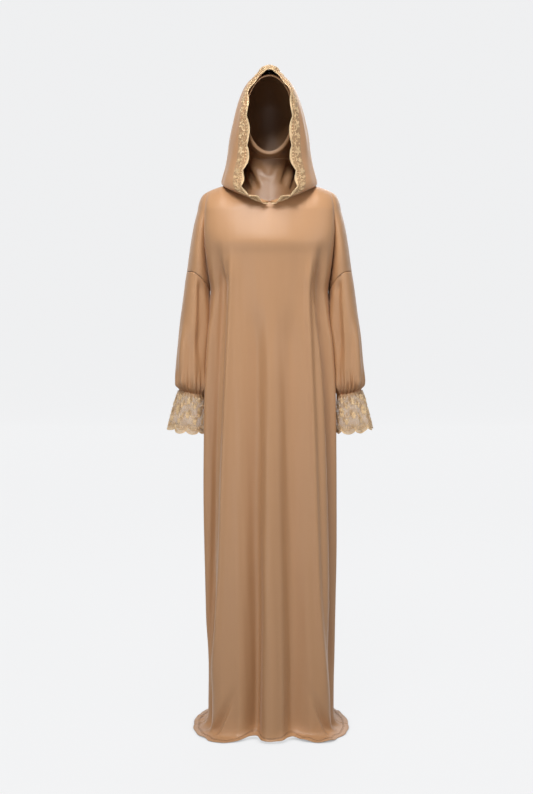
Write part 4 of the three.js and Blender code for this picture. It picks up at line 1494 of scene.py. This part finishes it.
def shader_group(name: str, inputs: dict[str, float],
                 outputs: tuple[str, ...]) -> tuple[Graph, dict[str, bpy.types.NodeSocket], bpy.types.Node]:
    """Starts a shader node group.

    Args:
        name: The group's name.
        inputs: Its inputs with their usual values.
        outputs: Its outputs.

    Returns:
        The graph, its inputs' sockets by name, and its output node.
    """
    tree = bpy.data.node_groups.new(name, "ShaderNodeTree")
    for key, value in inputs.items():
        tree.interface.new_socket(key, in_out="INPUT", socket_type="NodeSocketFloat").default_value = value
    for key in outputs:
        tree.interface.new_socket(key, in_out="OUTPUT", socket_type="NodeSocketFloat")
    graph = Graph(tree)
    start = graph.add("NodeGroupInput")
    return graph, {s.name: s for s in start.outputs if s.name}, graph.add("NodeGroupOutput")


def knit_group() -> bpy.types.NodeTree:
    """A fine knit: ribs of slanting loops on the flat map. It puts out Height and Tone: Tone is random
    unevenness plus painted shade, darker in the knit's hollows and lighter on its tops.
    """
    slant_size, relief, relief_shade, blotch = 2.4, 0.25, 0.3, 9.0
    graph, start, end = shader_group("knit", {"Pitch": 0.0011, "Unevenness": 0.3}, ("Height", "Tone"))
    split = graph.add("ShaderNodeSeparateXYZ", {0: graph.flat_map()})
    rate = graph.math("DIVIDE", FULL_TURN, start["Pitch"])
    u = graph.math("MULTIPLY", split.outputs[0], rate)
    v = graph.math("MULTIPLY", split.outputs[1], rate)
    rib = graph.math("COSINE", u)
    half_turn = graph.math("SINE", graph.math("MULTIPLY", u, 0.5))
    slant = graph.math("MULTIPLY", graph.math("ABSOLUTE", half_turn), slant_size)
    loop = graph.math("SINE", graph.math("ADD", v, slant))
    height = graph.math("MULTIPLY_ADD", loop, relief, graph.math("MULTIPLY_ADD", rib, relief, 0.5))
    uneven = graph.math("SUBTRACT", graph.noise(blotch, 3.0), 0.5)
    tone = graph.math("MULTIPLY_ADD", uneven, start["Unevenness"], 0.5)
    # painted shade and highlight: the tone follows the knit's relief, darker where it is low and lighter
    # where it is high
    tone = graph.math("MULTIPLY_ADD", graph.math("SUBTRACT", height, 0.5), relief_shade, tone)
    graph.feed(end, {"Height": height, "Tone": tone})
    return graph.tree


def twist_group() -> bpy.types.NodeTree:
    """The twist of a thread along the flat map. It puts out Height and Tone: Tone is random fibres plus a
    painted highlight on the twist's crests and painted shade in its grooves.
    """
    fibre, fibre_tone, twist_shade = 260.0, 0.55, 0.45
    graph, start, end = shader_group("twist", {"Pitch": 0.0012, "Slant": 0.8}, ("Height", "Tone"))
    split = graph.add("ShaderNodeSeparateXYZ", {0: graph.flat_map()})
    slanted = graph.math("MULTIPLY_ADD", split.outputs[0], start["Slant"], split.outputs[1])
    turns = graph.math("DIVIDE", slanted, start["Pitch"])
    wave = graph.math("SINE", graph.math("MULTIPLY", turns, FULL_TURN))
    height = graph.math("MULTIPLY_ADD", wave, 0.5, 0.5)
    fibres = graph.math("MULTIPLY", graph.noise(fibre, 2.0), fibre_tone)
    # painted highlight and shade: the tone follows the twist, lighter on its crests and darker in its grooves
    tone = graph.math("MULTIPLY_ADD", height, twist_shade, fibres)
    graph.feed(end, {"Height": height, "Tone": tone})
    return graph.tree


def new_finish(name: str) -> tuple[bpy.types.Material, Graph, bpy.types.Node]:
    """Starts a material, and returns it with its graph and its shader."""
    made = bpy.data.materials.new(name)
    made.use_nodes = True
    return made, Graph(made.node_tree), made.node_tree.nodes["Principled BSDF"]


@dataclass(frozen=True)
class Yarn:
    """What the knitted cloth and the threads share: a light and a deep colour and a fine relief. The
    pattern's tone mixes them, so the deep colour is partly painted shade in the relief's hollows and the
    light one partly a painted highlight on its tops.
    """

    name: str
    light: Colour
    deep: Colour
    pitch: float = 0.0012
    strength: float = 0.5
    distance: float = 0.0003

    def start(self, pattern: bpy.types.NodeTree) -> tuple[
            bpy.types.Material, Graph, bpy.types.Node, bpy.types.NodeSocket]:
        """Starts the material with its tones and relief.

        Args:
            pattern: The shared knit or twist.

        Returns:
            The material, its graph, its shader and the pattern's tone.
        """
        made, graph, shader = new_finish(self.name)
        group = graph.add("ShaderNodeGroup", {"Pitch": self.pitch}, node_tree=pattern)
        tone = group.outputs["Tone"]
        relief = {"Height": group.outputs["Height"], "Strength": self.strength, "Distance": self.distance}
        # painted shade and highlight: the deep colour goes into the relief's hollows and the light one onto
        # its tops, along with random unevenness
        graph.feed(shader, {"Base Color": graph.mixed(tone, self.deep, self.light),
                            "Normal": graph.first("ShaderNodeBump", relief)})
        return made, graph, shader, tone


@dataclass(frozen=True)
class Jersey(Yarn):
    """A smooth knitted cloth with a soft sheen."""

    pitch: float = 0.0011
    strength: float = 0.35
    distance: float = 0.0002
    roughness: Pair = (0.36, 0.12)
    sheen: float = 0.25
    sheen_roughness: float = 0.35
    glint: Colour = (1, 0.82, 0.66, 1)

    def material(self, knit: bpy.types.NodeTree) -> bpy.types.Material:
        """Makes the material from the shared knit."""
        made, graph, shader, tone = self.start(knit)
        least, more = self.roughness
        graph.feed(shader, {"Roughness": graph.math("MULTIPLY_ADD", tone, more, least),
                            "Sheen Weight": self.sheen, "Sheen Roughness": self.sheen_roughness,
                            "Sheen Tint": self.glint})
        return made


@dataclass(frozen=True)
class GoldThread(Yarn):
    """Twisted gold thread, as a cord, a satin petal or a stitch."""

    metallic: float = 0.3
    roughness: float = 0.4

    def material(self, twist: bpy.types.NodeTree) -> bpy.types.Material:
        """Makes the material from the shared twist."""
        made, graph, shader, _ = self.start(twist)
        graph.feed(shader, {"Metallic": self.metallic, "Roughness": self.roughness})
        return made


@dataclass(frozen=True)
class Tulle:
    """A fine net of champagne thread, which shows what lies behind it."""

    name: str
    thread: Colour
    mesh: float = 0.0016
    uneven: float = 0.3
    edges: Pair = (0.1, 0.22)
    least: float = 0.2
    most: float = 0.85
    deeper: float = 0.85
    blotch: float = 40.0
    roughness: float = 0.45

    def material(self) -> bpy.types.Material:
        """Makes the material, with small holes in its alpha."""
        made, graph, shader = new_finish(self.name)
        cells = graph.add(
            "ShaderNodeTexVoronoi",
            {"Vector": graph.flat_map(), "Scale": 1 / self.mesh, "Randomness": self.uneven},
            voronoi_dimensions="2D", feature="DISTANCE_TO_EDGE").outputs["Distance"]
        start, end = self.edges
        hole = {0: cells, 1: start, 2: end, 3: self.most, 4: self.least}
        deep = tuple(self.deeper * c for c in self.thread[:3]) + (1,)
        graph.feed(shader, {"Alpha": graph.first("ShaderNodeMapRange", hole),
                            "Base Color": graph.mixed(graph.noise(self.blotch, 2.0), deep, self.thread),
                            "Roughness": self.roughness})
        return made


@dataclass(frozen=True)
class StitchRun:
    """A Geometry Nodes tree that sets stitches along the edges of a mesh."""

    pitch: float = 0.0038
    length: float = 0.0032
    thickness: float = 0.0011

    def tree(self) -> bpy.types.NodeTree:
        """Builds the tree, with its sizes and its material as inputs."""
        tree = bpy.data.node_groups.new("stitch_run", "GeometryNodeTree")
        sockets = tree.interface
        sockets.new_socket("Geometry", in_out="INPUT", socket_type="NodeSocketGeometry")
        for name, value in (("Pitch", self.pitch), ("Length", self.length), ("Thickness", self.thickness)):
            sockets.new_socket(name, in_out="INPUT", socket_type="NodeSocketFloat").default_value = value
        sockets.new_socket("Material", in_out="INPUT", socket_type="NodeSocketMaterial")
        sockets.new_socket("Geometry", in_out="OUTPUT", socket_type="NodeSocketGeometry")
        graph = Graph(tree)
        start = graph.add("NodeGroupInput").outputs
        path = graph.first("GeometryNodeMeshToCurve", {"Mesh": start["Geometry"]})
        even = graph.first("GeometryNodeResampleCurve", {"Curve": path, "Length": start["Pitch"]},
                           mode="LENGTH")
        ball = graph.first("GeometryNodeMeshIcoSphere", {"Radius": 0.5, "Subdivisions": 1})
        wide = start["Thickness"]
        size = graph.first("ShaderNodeCombineXYZ", {0: start["Length"], 1: wide, 2: wide})
        tangent = graph.first("GeometryNodeInputTangent")
        turned = graph.first("FunctionNodeAlignRotationToVector", {"Vector": tangent}, axis="X")
        placed = graph.first("GeometryNodeInstanceOnPoints",
                             {"Points": even, "Instance": ball, "Rotation": turned, "Scale": size})
        real = graph.first("GeometryNodeRealizeInstances", {"Geometry": placed})
        smooth = graph.first("GeometryNodeSetShadeSmooth", {"Geometry": real})
        dressed = graph.first("GeometryNodeSetMaterial", {"Geometry": smooth, "Material": start["Material"]})
        graph.feed(graph.add("NodeGroupOutput"), {0: dressed})
        return tree

    def build(self, name: str, paths: list[Array], material: bpy.types.Material,
              tree: bpy.types.NodeTree) -> Object:
        """Sews along some paths.

        Args:
            name: The piece's name.
            paths: Lines of points in millimetres above the floor.
            material: The thread's material.
            tree: The tree from tree().

        Returns:
            The stitches as a plain mesh object.
        """
        counts = np.cumsum([0] + [len(p) for p in paths])
        edges = [(i, i + 1) for a, b in zip(counts[:-1], counts[1:]) for i in range(a, b - 1)]
        mesh = bpy.data.meshes.new(f"{name}_path")
        mesh.from_pydata(to_metres(np.concatenate(paths)).tolist(), edges, [])
        path = linked(f"{name}_path", mesh)
        modifier = path.modifiers.new("stitches", "NODES")
        modifier.node_group = tree
        sizes = {"Pitch": self.pitch, "Length": self.length, "Thickness": self.thickness,
                 "Material": material}
        for socket in tree.interface.items_tree:
            if socket.in_out == "INPUT" and socket.name in sizes:
                modifier[socket.identifier] = sizes[socket.name]
        bpy.context.view_layer.update()
        seen = path.evaluated_get(bpy.context.evaluated_depsgraph_get())
        plain = bpy.data.meshes.new_from_object(seen)
        plain.name = name
        made = linked(name, plain)
        path.modifiers.remove(modifier)
        bpy.data.objects.remove(path)
        return made


@dataclass(frozen=True)
class Lamp:
    """A soft square lamp that faces the gown's chest."""

    name: str
    place: Place
    size: float
    power: float
    aim: Place = (0, 0, -0.3)

    def build(self) -> None:
        """Adds the lamp, unseen by the camera."""
        data = bpy.data.lights.new(self.name, "AREA")
        data.size = self.size
        data.energy = self.power
        lamp = linked(self.name, data)
        lamp.location = self.place
        lamp.visible_camera = False
        across, ahead, down = np.array(self.aim) - np.array(self.place)
        lamp.rotation_euler = (math.atan2(math.hypot(across, ahead), -down), 0, math.atan2(-across, ahead))


@dataclass(frozen=True)
class Studio:
    """The plain pale floor, the soft light and the camera at the photograph's angle."""

    pale: Colour = (0.03, 0.03, 0.0303, 1)
    tint: Colour = (0.985, 0.99, 1, 1)
    roughness: float = 0.9
    shine: float = 0.1
    glow: float = 0.865
    contact: float = 0.02
    contact_shade: float = 0.3
    contact_samples: int = 8
    ambient: float = 0.3
    seen: float = 0.875
    reach: float = 12
    sweep: float = 3
    flat_steps: int = 7
    sweep_steps: int = 16
    picture: tuple[int, int] = (533, 794)
    focal_px: float = 1338
    eye: Place = (-0.0075, -3.6, -0.3)
    pitch: float = 3.95
    sensor: float = 36
    far: float = 50
    lamps: tuple[Lamp, ...] = (
        Lamp("key", (-0.45, -1.7, 1.65), 0.8, 51),
        Lamp("fill", (2.4, -2.0, 0.6), 1.6, 22),
        Lamp("top", (0.1, -0.7, 2.0), 0.9, 16),
        Lamp("low", (-1.6, -2.6, -0.9), 1.4, 12),
        Lamp("back", (0.5, 2.8, 1.1), 1.8, 26),
    )

    def build(self) -> None:
        """Makes the floor, the world, the lamps and the camera."""
        bpy.context.scene.view_settings.view_transform = "Standard"
        self.floor()
        self.world()
        for lamp in self.lamps:
            lamp.build()
        self.camera()

    def floor(self) -> None:
        """Makes the floor, which bends up far behind the gown and shades where the cloth lies."""
        reach, bend = self.reach, self.sweep
        turn = np.linspace(0, QUARTER_TURN, self.sweep_steps + 1)[1:]
        flat = np.linspace(-reach, reach - bend, self.flat_steps)
        ahead = np.concatenate([flat, reach - bend + bend * np.sin(turn), [reach]])
        up = np.concatenate([np.zeros(self.flat_steps), bend - bend * np.cos(turn), [reach]])
        grid = xyz(np.array([[-reach, reach]]), ahead[:, None], up[:, None]) / MM
        sheet = Sheet.of_grid(grid)
        floor = mesh_object("studio_floor", sheet.points, sheet.quads, None)
        paint, graph, shader = new_finish("pale_floor")
        room = graph.add("ShaderNodeAmbientOcclusion", {"Distance": self.contact},
                         samples=self.contact_samples)
        shade = self.contact_shade
        light = graph.math("MULTIPLY_ADD", room.outputs["AO"], self.glow - shade, shade)
        graph.feed(shader, {"Base Color": self.pale, "Roughness": self.roughness, "Emission Color": self.tint,
                            "Specular IOR Level": self.shine, "Emission Strength": light})
        floor.data.materials.append(paint)
        floor.visible_diffuse = False

    def world(self) -> None:
        """Makes the world: soft light for the gown, and a pale ground for the camera."""
        world = bpy.data.worlds.new("studio")
        world.use_nodes = True
        sky = Graph(world.node_tree)
        camera_ray = sky.add("ShaderNodeLightPath").outputs["Is Camera Ray"]
        strength = sky.math("MULTIPLY_ADD", camera_ray, self.seen - self.ambient, self.ambient)
        sky.feed(world.node_tree.nodes["Background"], {0: self.tint, 1: strength})
        bpy.context.scene.world = world

    def camera(self) -> None:
        """Sets up the camera."""
        camera = linked("camera", bpy.data.cameras.new("camera"))
        camera.location = self.eye
        camera.rotation_euler = (math.radians(90 - self.pitch), 0, 0)
        camera.data.sensor_width = self.sensor
        camera.data.lens = self.sensor * self.focal_px / max(self.picture)
        camera.data.clip_end = self.far
        bpy.context.scene.camera = camera


def dress(piece: Object, material: bpy.types.Material, slot: str, *nodes: str) -> Object:
    """Gives a piece its material and its body, hides the frame's nodes that it stands for, and logs its
    triangles.
    """
    if not piece.data.materials:
        piece.data.materials.append(material)
    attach(piece, "root")
    if nodes:
        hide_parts(*nodes)
    triangles = sum(len(p.vertices) - 2 for p in piece.data.polygons)
    log.info("%s: %d triangles", piece.name, triangles)
    return piece


def main() -> None:
    """Builds every piece of the gown round the frame."""
    logging.basicConfig(level=logging.INFO, format="%(message)s")
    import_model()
    Studio().build()
    knit, twist = knit_group(), twist_group()
    # Each finish's light and deep colours are mixed by its knit or twist: painted highlight on the relief's
    # tops, painted shade in its hollows.
    camel = Jersey("camel_jersey", (0.525, 0.286, 0.141, 1), (0.445, 0.232, 0.107, 1)).material(knit)
    # The inner jersey is much darker than the camel: partly its own darker tone, partly painted shade of the
    # hollow under the hood and chin.
    inner = Jersey("inner_jersey_shaded", (0.275, 0.146, 0.069, 1), (0.226, 0.116, 0.052, 1),
                   sheen=0.05).material(knit)
    gold = GoldThread("gold_cord", (0.97, 0.77, 0.5, 1), (0.6, 0.38, 0.17, 1)).material(twist)
    thread = GoldThread("camel_thread", (0.27, 0.145, 0.075, 1), (0.2, 0.105, 0.055, 1),
                        metallic=0).material(twist)
    net = Tulle("champagne_tulle", (0.66, 0.43, 0.235, 1)).material()
    gown, run = Gown(), StitchRun()
    panels = {face: dress(gown.build(face), camel, "cloth", face.word) for face in Face}
    tree = run.tree()
    for face, panel in panels.items():
        stitches = run.build(f"hem_stitches_{face.word}", gown.hem_lines(face), thread, tree)
        sewn = dress(stitches, thread, "cloth")
    cover = InnerCover()
    cap = dress(cover.build_cap(), inner, "inner_cloth", "inner_cap")
    cowl = dress(cover.build_cowl(), inner, "inner_cloth", "neck_cowl")
    for side in Side:
        sleeve, hood = Sleeve(side), Hood(side)
        cloth = dress(sleeve.build(), camel, "cloth", f"sleeve_{side.word}")
        cuff, strip = sleeve.build_cuff()
        dress(cuff, net, "lace", f"cuff_{side.word}")
        cords = dress(CUFF_MOTIF.build(f"cuff_cords_{side.word}", strip), gold, "lace")
        half = dress(hood.build(), camel, "cloth", f"hood_{side.word}")
        lace, strip = hood.build_lace()
        dress(lace, net, "lace", f"hood_lace_{side.word}")
        cords = dress(HOOD_MOTIF.build(f"hood_cords_{side.word}", strip), gold, "lace")


if __name__ == "__main__":
    main()
